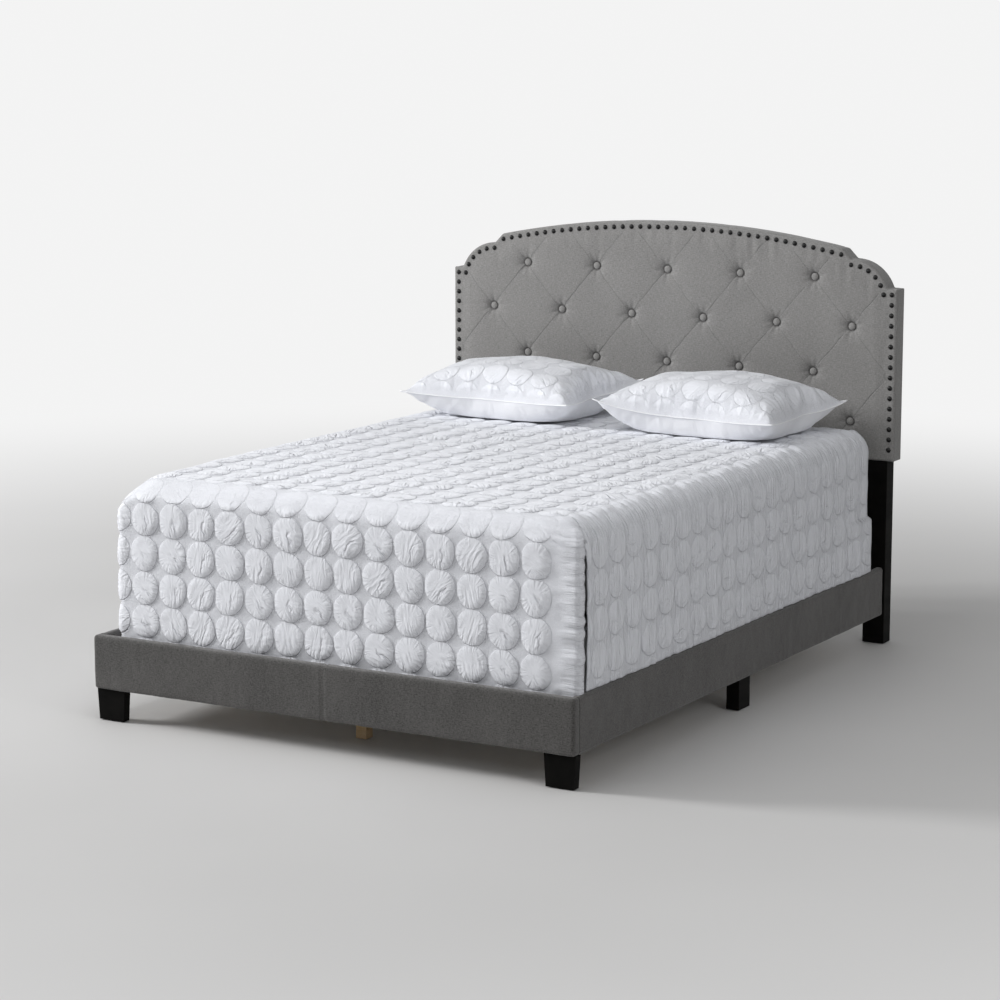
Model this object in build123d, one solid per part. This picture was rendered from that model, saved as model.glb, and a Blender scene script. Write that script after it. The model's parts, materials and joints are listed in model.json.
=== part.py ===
from build123d import *
import math
import os

# Upholstered queen-size bed with a tufted headboard, box spring, mattress, quilt and two pillows.
# Lengths are millimetres. +Z is up, +Y points from the foot to the headboard, and the origin lies
# on the floor under the middle of the whole bed.

# Overall sizes
headboard_width = 1686.0
headboard_height = 1378.0
bed_length = 2210.0
frame_width = 1630.0
foot_height = 97.0

# Cloth and clearances
cloth = 1.5
fit_gap = 0.2
seat_gap = 0.3
overrun = 30.0

# Padded rails
rail_height = 164.0
rail_board_thickness = 16.0
rail_foam_thickness = 9.0
rail_top_foam = 6.0
rail_edge_radius = 11.0
rail_hem = 25.0
butt_gap = 0.5

# Headboard depth, front to back
headboard_depth = 65.0
headboard_foam_thickness = 28.0
headboard_panel_thickness = 12.0
headboard_edge_radius = 9.0
headboard_hem = 40.0

# Headboard outline
headboard_bottom = 617.0
shoulder_height = 1188.0
ear_centre_x = 678.0
ear_centre_height = 1141.0
ear_radius = 139.0
arch_half_width = 647.0
arch_rise = 66.0
outline_corner_radius = 12.0

# Tufting
button_pitch = 273.0
button_row_pitch = 158.0
top_button_height = 1216.0
button_rows = 4
wide_row_buttons = 6
button_radius = 12.0
button_thickness = 9.0
button_rim_height = 3.0
button_shank_radius = 2.0
washer_radius = 11.0
washer_thickness = 2.0
dimple_depth = 13.0
dimple_radius = 58.0
dimple_seat_radius = 13.0
dimple_shoulder_radius = 110.0
crease_depth = 6.5
crease_half_width = 42.0
crease_shoulder_radius = 240.0
tuft_border = 34.0

# Border nails
nail_head_radius = 8.5
nail_head_height = 5.0
nail_pin_radius = 1.2
nail_pin_length = 36.0
nail_pitch = 34.2
nail_inset = 19.0
ear_nails = 6

# Headboard frame behind the sheet
batten_width = 40.0
stile_width = 17.0
middle_stile_x = 205.0
cross_batten_height = 1120.0
top_batten_height = 1252.0
top_batten_half_length = 620.0

# Headboard legs
leg_outer_x = 821.0
leg_width = 76.0
leg_depth = 58.0
leg_top = 1000.0
leg_shadow_gap = 2.0
leg_edge_radius = 2.0
leg_bolt_heights = (700.0, 900.0)

# Front feet, middle legs and centre legs
foot_bottom_width = 88.0
foot_taper = 6.0
foot_depth = 28.0
foot_setback = 15.0
mid_leg_outer_x = 805.0
mid_leg_width = 42.0
mid_leg_length = 76.0
mid_leg_y = -8.0
centre_leg_width = 36.0
glide_radius = 11.0
glide_thickness = 3.0
wood_edge_radius = 2.0

# Slats and their ledgers
ledger_thickness = 28.0
ledger_height = 40.0
slat_top = 211.0
slat_thickness = 20.0
slat_width = 70.0
first_slat_y = -885.0
slat_pitch = 560.0
slat_count = 4
corner_block_width = 70.0
ledger_screws_per_side = 6

# Fasteners
bolt_radius = 4.0
bolt_head_radius = 7.5
bolt_head_height = 4.5
nut_radius = 7.5
nut_thickness = 5.0
insert_radius = 6.0
insert_length = 12.0
screw_radius = 2.2
screw_head_radius = 4.5
screw_head_height = 2.6
screw_length = 38.0
corner_bolt_length = 84.0
corner_bolt_low = 55.0
bracket_bolt_length = 15.0
bracket_leg_bolt_length = 44.0
foot_stud_length = 84.0

# Rail brackets
bracket_thickness = 3.0
bracket_height = 90.0
bracket_arm = 52.0
bracket_bolt_spacing = 50.0

# Box spring
bedding_width = 1524.0
bedding_length = 2032.0
bedding_shift = 22.0
bedding_setback = 53.0
box_spring_height = 229.0
box_spring_corner_radius = 80.0
box_spring_edge_radius = 12.0
box_spring_cover_thickness = 3.0
ladder_rail_width = 64.0
ladder_rail_height = 40.0
ladder_rung_width = 60.0
ladder_rungs = 7

# Mattress
mattress_height = 282.0
mattress_corner_radius = 80.0
mattress_top_radius = 70.0
mattress_bottom_radius = 26.0
mattress_cover_thickness = 4.0
piping_radius = 3.5

# Quilt
quilt_clearance = 3.0
quilt_top_thickness = 15.0
quilt_foot_thickness = 10.0
quilt_left_thickness = 8.0
quilt_right_thickness = 24.0
quilt_head_setback = 70.0
quilt_corner_radius = 90.0
quilt_edge_radius = 76.0
quilt_inner_corner_radius = 79.0
quilt_inner_edge_radius = 54.0
quilt_hem_tuck = 30.0
quilt_slit_width = 5.0
quilt_slit_height = 335.0
quilt_slit_y = 50.0

# Pillows
pillow_width = 716.0
pillow_depth = 560.0
pillow_height = 168.0
pillow_seam_height = 70.0
pillow_cloth = 2.0
pillow_belly = 10.0
pillow_x = 368.0
pillow_head_gap = 92.0
pillow_end_hollow = 14.0
pillow_side_hollow = 20.0
pillow_end_thickness = 7.0

# Shares of a pillow's half width, with the crown's and the hollow's share at each
pillow_station_shares = (0.0, 0.36, 0.66, 0.86, 0.96, 1.0)
pillow_crown_shares = (1.0, 0.99, 0.93, 0.74, 0.42, 0.0)
pillow_hollow_shares = (1.0, 0.9, 0.62, 0.3, 0.1, 0.0)

# Shares of a pillow section's half depth and height at its shoulder and halfway up its side
pillow_shoulder_share = 0.66
pillow_shoulder_rise_share = 0.8
pillow_side_share = 0.895
pillow_side_rise_share = 0.47

# Worked-out places
half_length = bed_length / 2
foot_y = -half_length
head_y = half_length
rail_thickness = rail_board_thickness + rail_foam_thickness + 2 * cloth
rail_top = foot_height + rail_height
rail_outer_x = frame_width / 2
rail_inner_x = rail_outer_x - rail_thickness
board_inner_x = rail_inner_x + cloth
foot_rail_inner_y = foot_y + rail_thickness
foot_board_inner_y = foot_rail_inner_y - cloth
headboard_front = head_y - headboard_depth
panel_front = headboard_front + cloth + headboard_foam_thickness
panel_back = panel_front + headboard_panel_thickness
batten_back = head_y - 2 * cloth
leg_inner_x = leg_outer_x - leg_width
leg_middle_x = leg_outer_x - leg_width / 2
leg_back = headboard_front + leg_depth
ledger_top = slat_top - slat_thickness
ledger_bottom = ledger_top - ledger_height
ledger_inner_x = board_inner_x - ledger_thickness
corner_block_end_y = foot_rail_inner_y + corner_block_width
bracket_start_y = headboard_front - bracket_arm
bedding_left = bedding_shift - bedding_width / 2
bedding_right = bedding_shift + bedding_width / 2
bedding_foot = foot_y + bedding_setback
bedding_head = bedding_foot + bedding_length
box_spring_bottom = slat_top + seat_gap
box_spring_top = box_spring_bottom + box_spring_height
mattress_bottom = box_spring_top + seat_gap
mattress_top = mattress_bottom + mattress_height
quilt_under = mattress_top + seat_gap
quilt_top = quilt_under + quilt_top_thickness
quilt_left = bedding_left - quilt_clearance - quilt_left_thickness
quilt_right = bedding_right + quilt_clearance + quilt_right_thickness
quilt_foot = bedding_foot - quilt_clearance - quilt_foot_thickness
quilt_head = bedding_head - quilt_head_setback
quilt_bottom = rail_top - quilt_hem_tuck
pillow_rest = quilt_top + seat_gap
pillow_seam = pillow_rest + pillow_seam_height
pillow_y = headboard_front - pillow_head_gap - pillow_depth / 2


def block(x0, x1, y0, y1, z0, z1):
    """A box between two opposite corners."""
    centre = Pos((x0 + x1) / 2, (y0 + y1) / 2, (z0 + z1) / 2)
    return centre * Box(x1 - x0, y1 - y0, z1 - z0)


def carry_back(outline, front, back):
    """An X-Z outline carried from one depth to another."""
    plane = Plane(origin=(0, back, 0), x_dir=(1, 0, 0), z_dir=(0, -1, 0))
    return extrude(plane * outline, amount=back - front)


def other_side(shape):
    """The same shape on the left of the bed."""
    return mirror(shape, about=Plane.YZ)


def both_sides(shapes):
    """Shapes on the right with their mirror images."""
    return shapes + [other_side(shape) for shape in shapes]


def group(shapes):
    """Separate solids kept together in one node."""
    return Compound([solid for shape in shapes for solid in shape.solids()])


def save(shape, node):
    export_step(shape, f"parts/{node}.step")


def aim(shape, point, direction):
    """A shape made along +Z, moved to a point and turned along a direction."""
    return Plane(origin=point, z_dir=direction).location * shape


def rod(radius, start, end):
    """A round rod along +Z between two heights."""
    return Pos(0, 0, (start + end) / 2) * Cylinder(radius, end - start)


def bolt(length, grow=0.0):
    """A round-head bolt: the head below zero and the shank above, or its hole."""
    head = rod(bolt_head_radius + grow, -bolt_head_height - grow, 0)
    return head + rod(bolt_radius + grow, 0, length + grow)


def screw(length, grow=0.0):
    """A countersunk wood screw with its head's face at zero, or its hole."""
    cone = Pos(0, 0, screw_head_height / 2) * Cone(
        screw_head_radius + grow, screw_radius + grow, screw_head_height
    )
    return cone + rod(screw_radius + grow, 0, length + grow)


def sleeve(length, grow=0.0):
    """A threaded insert round a bolt, or its seat."""
    body = rod(insert_radius + grow, 0, length + grow)
    if grow > 0:
        return body
    return body - rod(bolt_radius + fit_gap, -overrun, length + overrun)


def dome_arc(radius, rim, top):
    """The half section of a round dome, from its rim to its top on the axis."""
    rise = rim - top
    sphere = (radius**2 + rise**2) / (2 * rise)
    half_way = math.asin(radius / sphere) / 2
    middle = (sphere * math.sin(half_way), top + sphere * (1 - math.cos(half_way)))
    return ThreePointArc((radius, rim), middle, (0, top))


# Headboard outline and tufting


def headboard_outline(inset):
    """The notched and arched outline, drawn in from its edge by an inset."""
    half = headboard_width / 2
    ledge_x = ear_centre_x + math.sqrt(ear_radius**2 - (shoulder_height - ear_centre_height) ** 2)
    ear_angle = math.atan2(shoulder_height - ear_centre_height, ledge_x - ear_centre_x) / 2 + math.pi / 4
    ear_middle = (
        ear_centre_x + ear_radius * math.cos(ear_angle),
        ear_centre_height + ear_radius * math.sin(ear_angle),
    )
    ear_top = (ear_centre_x, ear_centre_height + ear_radius)
    notch_top = (arch_half_width, headboard_height - arch_rise)
    crown = (0, headboard_height)
    right = [
        Line((0, headboard_bottom), (half, headboard_bottom)),
        Line((half, headboard_bottom), (half, shoulder_height)),
        Line((half, shoulder_height), (ledge_x, shoulder_height)),
        ThreePointArc((ledge_x, shoulder_height), ear_middle, ear_top),
        Line(ear_top, notch_top),
    ]
    arch = ThreePointArc(notch_top, crown, (-arch_half_width, headboard_height - arch_rise))
    left = [mirror(edge, about=Plane.YZ) for edge in right]
    face = make_face(right + [arch] + left)
    corners = face.vertices().filter_by(lambda v: v.Y > shoulder_height - outline_corner_radius)
    face = fillet(corners, outline_corner_radius)
    if inset == 0:
        return face
    return offset(face, amount=-inset, kind=Kind.INTERSECTION)


def headboard_slab(inset, back):
    """The padded slab with its soft front edge, inside an inset."""
    front = headboard_front + inset
    slab = carry_back(headboard_outline(inset), front, back)
    rim = slab.faces().sort_by(Axis.Y)[0].outer_wire().edges()
    return fillet(rim, headboard_edge_radius - inset)


def button_places():
    """The staggered grid of buttons, as X and Z."""
    places = []
    for row in range(button_rows):
        count = wide_row_buttons - 1 + row % 2
        for column in range(count):
            x = (column - (count - 1) / 2) * button_pitch
            places.append((x, top_button_height - row * button_row_pitch))
    return places


def shoulder_centre(far, deep, radius):
    """The centre of the round shoulder between the flat face and a low point."""
    du = far[0] - deep[0]
    dv = deep[1] - far[1]
    chord = math.hypot(du, dv)
    reach = math.sqrt(radius**2 - (chord / 2) ** 2)
    return (
        (far[0] + deep[0]) / 2 + dv / chord * reach,
        (far[1] + deep[1]) / 2 + du / chord * reach,
    )


def shoulder_arc(centre, radius, start, end):
    """An arc about a centre between two points on it."""
    half = ((start[0] + end[0]) / 2 - centre[0], (start[1] + end[1]) / 2 - centre[1])
    stretch = radius / math.hypot(half[0], half[1])
    return ThreePointArc(start, (centre[0] + half[0] * stretch, centre[1] + half[1] * stretch), end)


def crease_cutter(inset):
    """The space above a crease between two soft pads, along the crease."""
    centre = shoulder_centre((crease_half_width, 0), (0, crease_depth), crease_shoulder_radius)
    radius = crease_shoulder_radius - inset
    low = centre[1] - math.sqrt(radius**2 - centre[0] ** 2)
    far = centre[0] - math.sqrt(radius**2 - (centre[1] - inset) ** 2)
    right = shoulder_arc(centre, radius, (0, low), (far, inset))
    left = mirror(right, about=Plane.YZ)
    top = -headboard_edge_radius
    sides = [
        Line((far, inset), (far, top)),
        Line((far, top), (-far, top)),
        Line((-far, top), (-far, inset)),
    ]
    return make_face([right, left] + sides)


def dimple_cutter(inset, hole_radius):
    """The space above a button's dimple and the hole for its shank."""
    centre = shoulder_centre(
        (dimple_radius, 0), (dimple_seat_radius, dimple_depth), dimple_shoulder_radius
    )
    radius = dimple_shoulder_radius - inset
    floor = dimple_depth + inset
    far = centre[0] - math.sqrt(radius**2 - (centre[1] - inset) ** 2)
    near = centre[0] - math.sqrt(radius**2 - (centre[1] - floor) ** 2)
    top = -headboard_edge_radius
    edges = [
        Line((0, top), (far, top)),
        Line((far, top), (far, inset)),
        shoulder_arc(centre, radius, (far, inset), (near, floor)),
        Line((near, floor), (0, floor)),
        Line((0, floor), (0, top)),
    ]
    bowl = revolve(Plane.XZ * make_face(edges), Axis.Z)
    return bowl + rod(hole_radius, 0, headboard_depth)


def tuft_cutters(inset, hole_radius):
    """All creases and dimples in the headboard's face."""
    field = carry_back(headboard_outline(tuft_border), headboard_front - overrun, panel_back)
    reach = headboard_width
    run = button_pitch / 2
    cutters = []
    section = crease_cutter(inset)
    lines = wide_row_buttons + button_rows
    for side in (-1, 1):
        along = (side * run, 0, button_row_pitch)
        for line in range(lines):
            x = (line - (lines - 1) / 2) * button_pitch
            start = (x - side * run * reach / button_row_pitch, headboard_front, top_button_height - reach)
            across = Vector(0, 1, 0).cross(Vector(along))
            plane = Plane(origin=start, x_dir=across, z_dir=across.cross(Vector(0, 1, 0)))
            cutters.append(extrude(plane * section, amount=3 * reach))
    clipped = [field & cutter for cutter in cutters]
    bowl = dimple_cutter(inset, hole_radius)
    for x, z in button_places():
        clipped.append(aim(bowl, (x, headboard_front, z), (0, 1, 0)))
    return [shape for shape in clipped if shape is not None and shape.volume > 0]


def make_headboard_cover(inner):
    """The tufted cloth, wrapped round the edges and turned in behind the frame."""
    hole = button_shank_radius + fit_gap
    outer = headboard_slab(0, head_y - cloth) - tuft_cutters(0, hole)
    cover = outer - inner
    window = carry_back(headboard_outline(headboard_hem), panel_back, head_y)
    legs = []
    for side in (-1, 1):
        x = side * leg_middle_x
        half = leg_width / 2 + fit_gap
        legs.append(
            block(x - half, x + half, panel_back - cloth, head_y, headboard_bottom - overrun,
                  headboard_bottom + headboard_hem + overrun)
        )
    return cover - window - legs


def headboard_inside(inset, hole_radius):
    """Everything inside the tufted cloth."""
    return headboard_slab(inset, batten_back) - tuft_cutters(inset, hole_radius)


def leg_bolt_places():
    return [(side * leg_middle_x, z) for side in (-1, 1) for z in leg_bolt_heights]


def leg_bolts(grow=0.0):
    """Bolts from the front of the sheet through the tops of the legs."""
    length = leg_back - panel_front + nut_thickness
    return [aim(bolt(length, grow), (x, panel_front, z), (0, 1, 0)) for x, z in leg_bolt_places()]


def make_headboard_foam():
    inset = cloth + fit_gap
    hole = button_shank_radius + fit_gap
    back = block(-headboard_width, headboard_width, panel_front, head_y + overrun, 0, 2 * headboard_height)
    return headboard_inside(inset, hole) - back - leg_bolts(fit_gap)


def make_headboard_panel():
    outline = headboard_outline(cloth + fit_gap)
    sheet = carry_back(outline, panel_front, panel_back)
    hole = rod(button_shank_radius + fit_gap, 0, headboard_depth)
    holes = [aim(hole, (x, headboard_front, z), (0, 1, 0)) for x, z in button_places()]
    return sheet - holes - leg_bolts(fit_gap)


def make_headboard_battens():
    """The wooden frame behind the sheet, as separate lengths."""
    low = headboard_bottom + cloth + fit_gap
    edge = headboard_width / 2 - cloth - fit_gap
    inner = leg_inner_x - fit_gap
    front = panel_back
    back = batten_back
    middle_low = low + batten_width
    middle_high = cross_batten_height + batten_width
    battens = [
        block(-inner, inner, front, back, low, middle_low),
        block(-edge + stile_width, edge - stile_width, front, back, cross_batten_height, middle_high),
        block(-top_batten_half_length, top_batten_half_length, front, back, top_batten_height,
              top_batten_height + batten_width),
    ]
    x0 = middle_stile_x - batten_width / 2
    x1 = middle_stile_x + batten_width / 2
    uprights = [
        block(edge - stile_width, edge, front, back, low, middle_high),
        block(x0, x1, front, back, middle_low, cross_batten_height),
        block(x0, x1, front, back, middle_high, top_batten_height),
    ]
    return group(battens + both_sides(uprights))


def make_headboard_lining():
    """Thin cloth that closes the back."""
    sheet = carry_back(headboard_outline(headboard_hem / 2), head_y - cloth, head_y)
    return sheet


def make_tuft_buttons():
    """Covered buttons, each with a shank through the foam and the sheet."""
    shank = panel_back - headboard_front + washer_thickness
    back = dimple_depth - fit_gap
    rim = back - button_rim_height
    dome = [
        Line((0, back - button_thickness), (0, back)),
        Line((0, back), (button_radius, back)),
        Line((button_radius, back), (button_radius, rim)),
        dome_arc(button_radius, rim, back - button_thickness),
    ]
    button = revolve(Plane.XZ * make_face(dome), Axis.Z) + rod(button_shank_radius, 0, shank)
    return group([aim(button, (x, headboard_front, z), (0, 1, 0)) for x, z in button_places()])


def make_tuft_washers():
    washer = rod(washer_radius, 0, washer_thickness)
    washer = washer - rod(button_shank_radius + fit_gap, -overrun, overrun)
    return group([aim(washer, (x, panel_back, z), (0, 1, 0)) for x, z in button_places()])


def nail_places():
    """The border of nails: both columns, both ears and the arch."""
    places = []
    column_x = headboard_width / 2 - nail_inset
    top = shoulder_height - nail_inset
    bottom = headboard_bottom + nail_inset / 2
    count = int((top - bottom) / nail_pitch) + 1
    for side in (-1, 1):
        places += [(side * column_x, top - i * nail_pitch) for i in range(count)]
    ear = ear_radius - nail_inset
    low = math.atan2(top - ear_centre_height, ear)
    for i in range(ear_nails):
        angle = low + (math.pi / 2 - low) * i / (ear_nails - 1)
        x = ear_centre_x + ear * math.cos(angle)
        z = ear_centre_height + ear * math.sin(angle)
        places += [(x, z), (-x, z)]
    arch = (arch_half_width**2 + arch_rise**2) / (2 * arch_rise)
    arch_nails = round(arch_half_width / nail_pitch)
    for i in range(-arch_nails, arch_nails + 1):
        angle = i * nail_pitch / arch
        x = (arch - nail_inset) * math.sin(angle)
        z = headboard_height - arch + (arch - nail_inset) * math.cos(angle)
        places.append((x, z))
    return places


def make_nail_heads():
    """Domed nails driven through the cloth and foam into the sheet."""
    dome = [
        Line((0, -nail_head_height), (0, 0)),
        Line((0, 0), (nail_head_radius, 0)),
        dome_arc(nail_head_radius, 0, -nail_head_height),
    ]
    nail = revolve(Plane.XZ * make_face(dome), Axis.Z) + rod(nail_pin_radius, 0, nail_pin_length)
    return group([aim(nail, (x, headboard_front, z), (0, 1, 0)) for x, z in nail_places()])


# Headboard legs and rail brackets


def bracket_bolt_heights():
    middle = foot_height + rail_height / 2
    return (middle - bracket_bolt_spacing / 2, middle + bracket_bolt_spacing / 2)


def bracket_front_x():
    """The middle of the bracket's face on the leg."""
    return (leg_inner_x + board_inner_x) / 2


def leg_side_bolts(grow=0.0):
    """Bolts that hold the bracket to the right headboard leg."""
    y = headboard_front - bracket_thickness
    return [
        aim(bolt(bracket_leg_bolt_length, grow), (bracket_front_x(), y, z), (0, 1, 0))
        for z in bracket_bolt_heights()
    ]


def rail_side_bolts(grow=0.0):
    """Bolts that hold the bracket to the right rail board."""
    x = board_inner_x - bracket_thickness
    y = bracket_start_y + bracket_arm / 2
    return [
        aim(bolt(bracket_bolt_length, grow), (x, y, z), (1, 0, 0)) for z in bracket_bolt_heights()
    ]


def leg_inserts(grow=0.0):
    return [
        aim(sleeve(insert_length, grow), (bracket_front_x(), headboard_front, z), (0, 1, 0))
        for z in bracket_bolt_heights()
    ]


def rail_inserts(grow=0.0):
    y = bracket_start_y + bracket_arm / 2
    return [
        aim(sleeve(insert_length, grow), (board_inner_x, y, z), (1, 0, 0))
        for z in bracket_bolt_heights()
    ]


def make_headboard_leg():
    """The right leg: thick below the headboard, thin where it runs up behind the sheet."""
    low_top = headboard_bottom - leg_shadow_gap
    lower = block(leg_inner_x, leg_outer_x, headboard_front, leg_back, glide_thickness, low_top)
    lower = fillet(lower.edges().filter_by(Axis.Z), leg_edge_radius)
    upper = block(leg_inner_x, leg_outer_x, panel_back, leg_back, low_top - cloth, leg_top)
    cuts = leg_bolts(fit_gap) + leg_side_bolts(fit_gap) + leg_inserts(fit_gap)
    return lower + upper - cuts


def make_leg_nuts():
    nut = rod(nut_radius, 0, nut_thickness) - rod(bolt_radius + fit_gap, -overrun, overrun)
    return group([aim(nut, (x, leg_back, z), (0, 1, 0)) for x, z in leg_bolt_places()])


def make_rail_bracket():
    """A steel angle between the right rail and the headboard leg."""
    middle = foot_height + rail_height / 2
    z0 = middle - bracket_height / 2
    z1 = middle + bracket_height / 2
    inner = leg_inner_x + bracket_thickness
    arm = block(board_inner_x - bracket_thickness, board_inner_x, bracket_start_y,
                headboard_front - butt_gap, z0, z1)
    face = block(inner, board_inner_x, headboard_front - bracket_thickness, headboard_front, z0, z1)
    return arm + face - leg_side_bolts(fit_gap) - rail_side_bolts(fit_gap)


# Padded rails


def rail_section(inset):
    """The right rail's outline in X and Z, inside an inset."""
    width = rail_thickness - 2 * inset
    height = rail_height - 2 * inset
    face = Pos(rail_outer_x - inset - width / 2, foot_height + rail_height / 2) * Rectangle(width, height)
    outer = face.vertices().filter_by(lambda v: v.X > rail_outer_x - rail_thickness / 2)
    return fillet(outer, rail_edge_radius - inset)


def rail_window_section():
    """The open strip between the cover's turned-in hems."""
    x1 = rail_inner_x + rail_board_thickness / 2
    width = x1 - rail_inner_x + overrun
    centre = Pos(x1 - width / 2, foot_height + rail_height / 2)
    return centre * Rectangle(width, rail_height - 2 * rail_hem)


def side_rail_ends():
    return foot_rail_inner_y + butt_gap, headboard_front - butt_gap


def ledger_screw_places():
    start = corner_block_end_y + screw_length
    step = (bracket_start_y - screw_length - start) / (ledger_screws_per_side - 1)
    return [start + i * step for i in range(ledger_screws_per_side)]


def ledger_screws(grow=0.0):
    """Screws through the right ledger into the rail board."""
    z = (ledger_top + ledger_bottom) / 2
    return [aim(screw(screw_length, grow), (ledger_inner_x, y, z), (1, 0, 0)) for y in ledger_screw_places()]


def mid_leg_screws(grow=0.0):
    """Screws through the right middle leg's upper part into the rail board."""
    z = (foot_height + rail_hem + ledger_bottom) / 2
    x = mid_leg_outer_x - mid_leg_width
    places = (mid_leg_y - mid_leg_length / 4, mid_leg_y + mid_leg_length / 4)
    return [aim(screw(screw_length, grow), (x, y, z), (1, 0, 0)) for y in places]


def corner_bolts(grow=0.0):
    """Bolts through the right corner block into the foot board and the side board."""
    z_low = foot_height + corner_bolt_low
    z_high = foot_height + rail_height / 2
    x = rail_inner_x - corner_block_width / 2
    y = foot_rail_inner_y + corner_block_width / 2
    return [
        aim(bolt(corner_bolt_length, grow), (x, corner_block_end_y, z_low), (0, -1, 0)),
        aim(bolt(corner_bolt_length, grow), (rail_inner_x - corner_block_width, y, z_high), (1, 0, 0)),
    ]


def corner_inserts(grow=0.0):
    """Threaded inserts in the foot board and the side board for the corner bolts."""
    z_low = foot_height + corner_bolt_low
    z_high = foot_height + rail_height / 2
    x = rail_inner_x - corner_block_width / 2
    y = foot_rail_inner_y + corner_block_width / 2
    return [
        aim(sleeve(insert_length, grow), (x, foot_board_inner_y, z_low), (0, -1, 0)),
        aim(sleeve(insert_length, grow), (board_inner_x, y, z_high), (1, 0, 0)),
    ]


def board_height_range():
    return foot_height + cloth + fit_gap, rail_top - cloth - rail_top_foam


def make_side_rail_board():
    start, end = side_rail_ends()
    z0, z1 = board_height_range()
    board = block(board_inner_x, board_inner_x + rail_board_thickness - fit_gap, start, end, z0, z1)
    cuts = rail_side_bolts(fit_gap) + rail_inserts(fit_gap) + corner_bolts(fit_gap)
    cuts += corner_inserts(fit_gap) + ledger_screws(fit_gap) + mid_leg_screws(fit_gap)
    return board - cuts


def make_side_rail_foam():
    """Foam over the board's outer face and top."""
    start, end = side_rail_ends()
    z0, z1 = board_height_range()
    body = carry_back(rail_section(cloth + fit_gap), start, end)
    inside = block(rail_inner_x - overrun, board_inner_x + rail_board_thickness, start - overrun,
                   end + overrun, z0 - overrun, z1 + fit_gap)
    return body - inside


def make_side_rail_cover():
    """Cloth round the rail, open between its hems on the inner face."""
    start, end = side_rail_ends()
    section = rail_section(0) - rail_section(cloth) - rail_window_section()
    return carry_back(section, start, end)


def foot_rail_block(inset):
    """The whole foot rail with soft front edges and corners, inside an inset."""
    x = rail_outer_x - inset
    front = foot_y + inset
    body = block(-x, x, front, foot_rail_inner_y - inset, foot_height + inset, rail_top - inset)
    rim = body.faces().sort_by(Axis.Y)[0].outer_wire().edges()
    return fillet(rim, rail_edge_radius - inset)


def foot_board_cuts():
    return both_sides(corner_bolts(fit_gap) + corner_inserts(fit_gap))


def make_foot_rail_board():
    z0, z1 = board_height_range()
    x = rail_outer_x - cloth - rail_foam_thickness
    front = foot_board_inner_y - rail_board_thickness + fit_gap
    return block(-x, x, front, foot_board_inner_y, z0, z1) - foot_board_cuts()


def make_foot_rail_foam():
    """Foam over the board's front, top and ends."""
    z0, z1 = board_height_range()
    x = rail_outer_x - cloth - rail_foam_thickness + fit_gap
    front = foot_board_inner_y - rail_board_thickness
    inside = block(-x, x, front, foot_y + rail_thickness + overrun, z0 - overrun, z1 + fit_gap)
    return foot_rail_block(cloth + fit_gap) - inside


def make_foot_rail_cover():
    """Cloth wrapped round the foot rail, open between its hems on the inner face."""
    shell = foot_rail_block(0) - foot_rail_block(cloth)
    x = rail_outer_x - rail_hem
    window = block(-x, x, foot_rail_inner_y - rail_board_thickness / 2, foot_rail_inner_y + overrun,
                   foot_height + rail_hem, rail_top - rail_hem)
    return shell - window


# Feet, blocks, ledgers and slats


def foot_stud(grow=0.0):
    """The threaded stud between the right front foot and its corner block, midway in their overlap."""
    x = rail_inner_x - corner_block_width / 2
    y = (foot_rail_inner_y + foot_y + foot_setback + foot_depth) / 2
    stud = rod(bolt_radius + grow, -foot_stud_length / 2 - grow, foot_stud_length / 2 + grow)
    return Pos(x, y, foot_height) * stud


def make_corner_block():
    body = block(rail_inner_x - corner_block_width, rail_inner_x, foot_rail_inner_y,
                 corner_block_end_y, foot_height, ledger_top)
    return body - corner_bolts(fit_gap) - foot_stud(fit_gap)


def make_front_foot():
    """The right front foot, a thick board that narrows to the floor."""
    place = Pos(*front_foot_centre())
    bottom = Plane.XY.offset(glide_thickness) * place * Rectangle(foot_bottom_width, foot_depth)
    top = Plane.XY.offset(foot_height) * place * Rectangle(foot_bottom_width + 2 * foot_taper, foot_depth)
    return loft([bottom, top], ruled=True) - foot_stud(fit_gap)


def front_foot_centre():
    top_half = foot_bottom_width / 2 + foot_taper
    return rail_outer_x - foot_taper / 2 - top_half, foot_y + foot_setback + foot_depth / 2


def make_mid_leg():
    """The right middle leg, notched under the rail."""
    inner = mid_leg_outer_x - mid_leg_width
    y0 = mid_leg_y - mid_leg_length / 2
    y1 = mid_leg_y + mid_leg_length / 2
    lower = block(inner, mid_leg_outer_x, y0, y1, glide_thickness, foot_height)
    upper = block(inner, rail_inner_x, y0, y1, foot_height, ledger_bottom)
    return lower + upper - mid_leg_screws(fit_gap)


def make_ledger():
    """The strip along the right rail board that carries the slats."""
    strip = block(ledger_inner_x, board_inner_x, corner_block_end_y + butt_gap,
                  bracket_start_y - butt_gap, ledger_bottom, ledger_top)
    return strip - ledger_screws(fit_gap) - slat_end_screws(fit_gap)


def slat_places():
    return [first_slat_y + i * slat_pitch for i in range(slat_count)]


def slat_end_screws(grow=0.0):
    """Screws through the slats' right ends into the ledger."""
    x = ledger_inner_x + ledger_thickness / 3
    length = slat_thickness + ledger_height / 2
    return [aim(screw(length, grow), (x, y, slat_top), (0, 0, -1)) for y in slat_places()]


def centre_leg_screws(grow=0.0):
    """Screws through the slats into the centre legs."""
    length = slat_thickness + screw_length
    return [aim(screw(length, grow), (0, y, slat_top), (0, 0, -1)) for y in slat_places()]


def make_slats():
    end = board_inner_x - butt_gap
    slats = [
        block(-end, end, y - slat_width / 2, y + slat_width / 2, ledger_top, slat_top)
        for y in slat_places()
    ]
    cuts = both_sides(slat_end_screws(fit_gap)) + centre_leg_screws(fit_gap)
    return group([slat - cuts for slat in slats])


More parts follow.
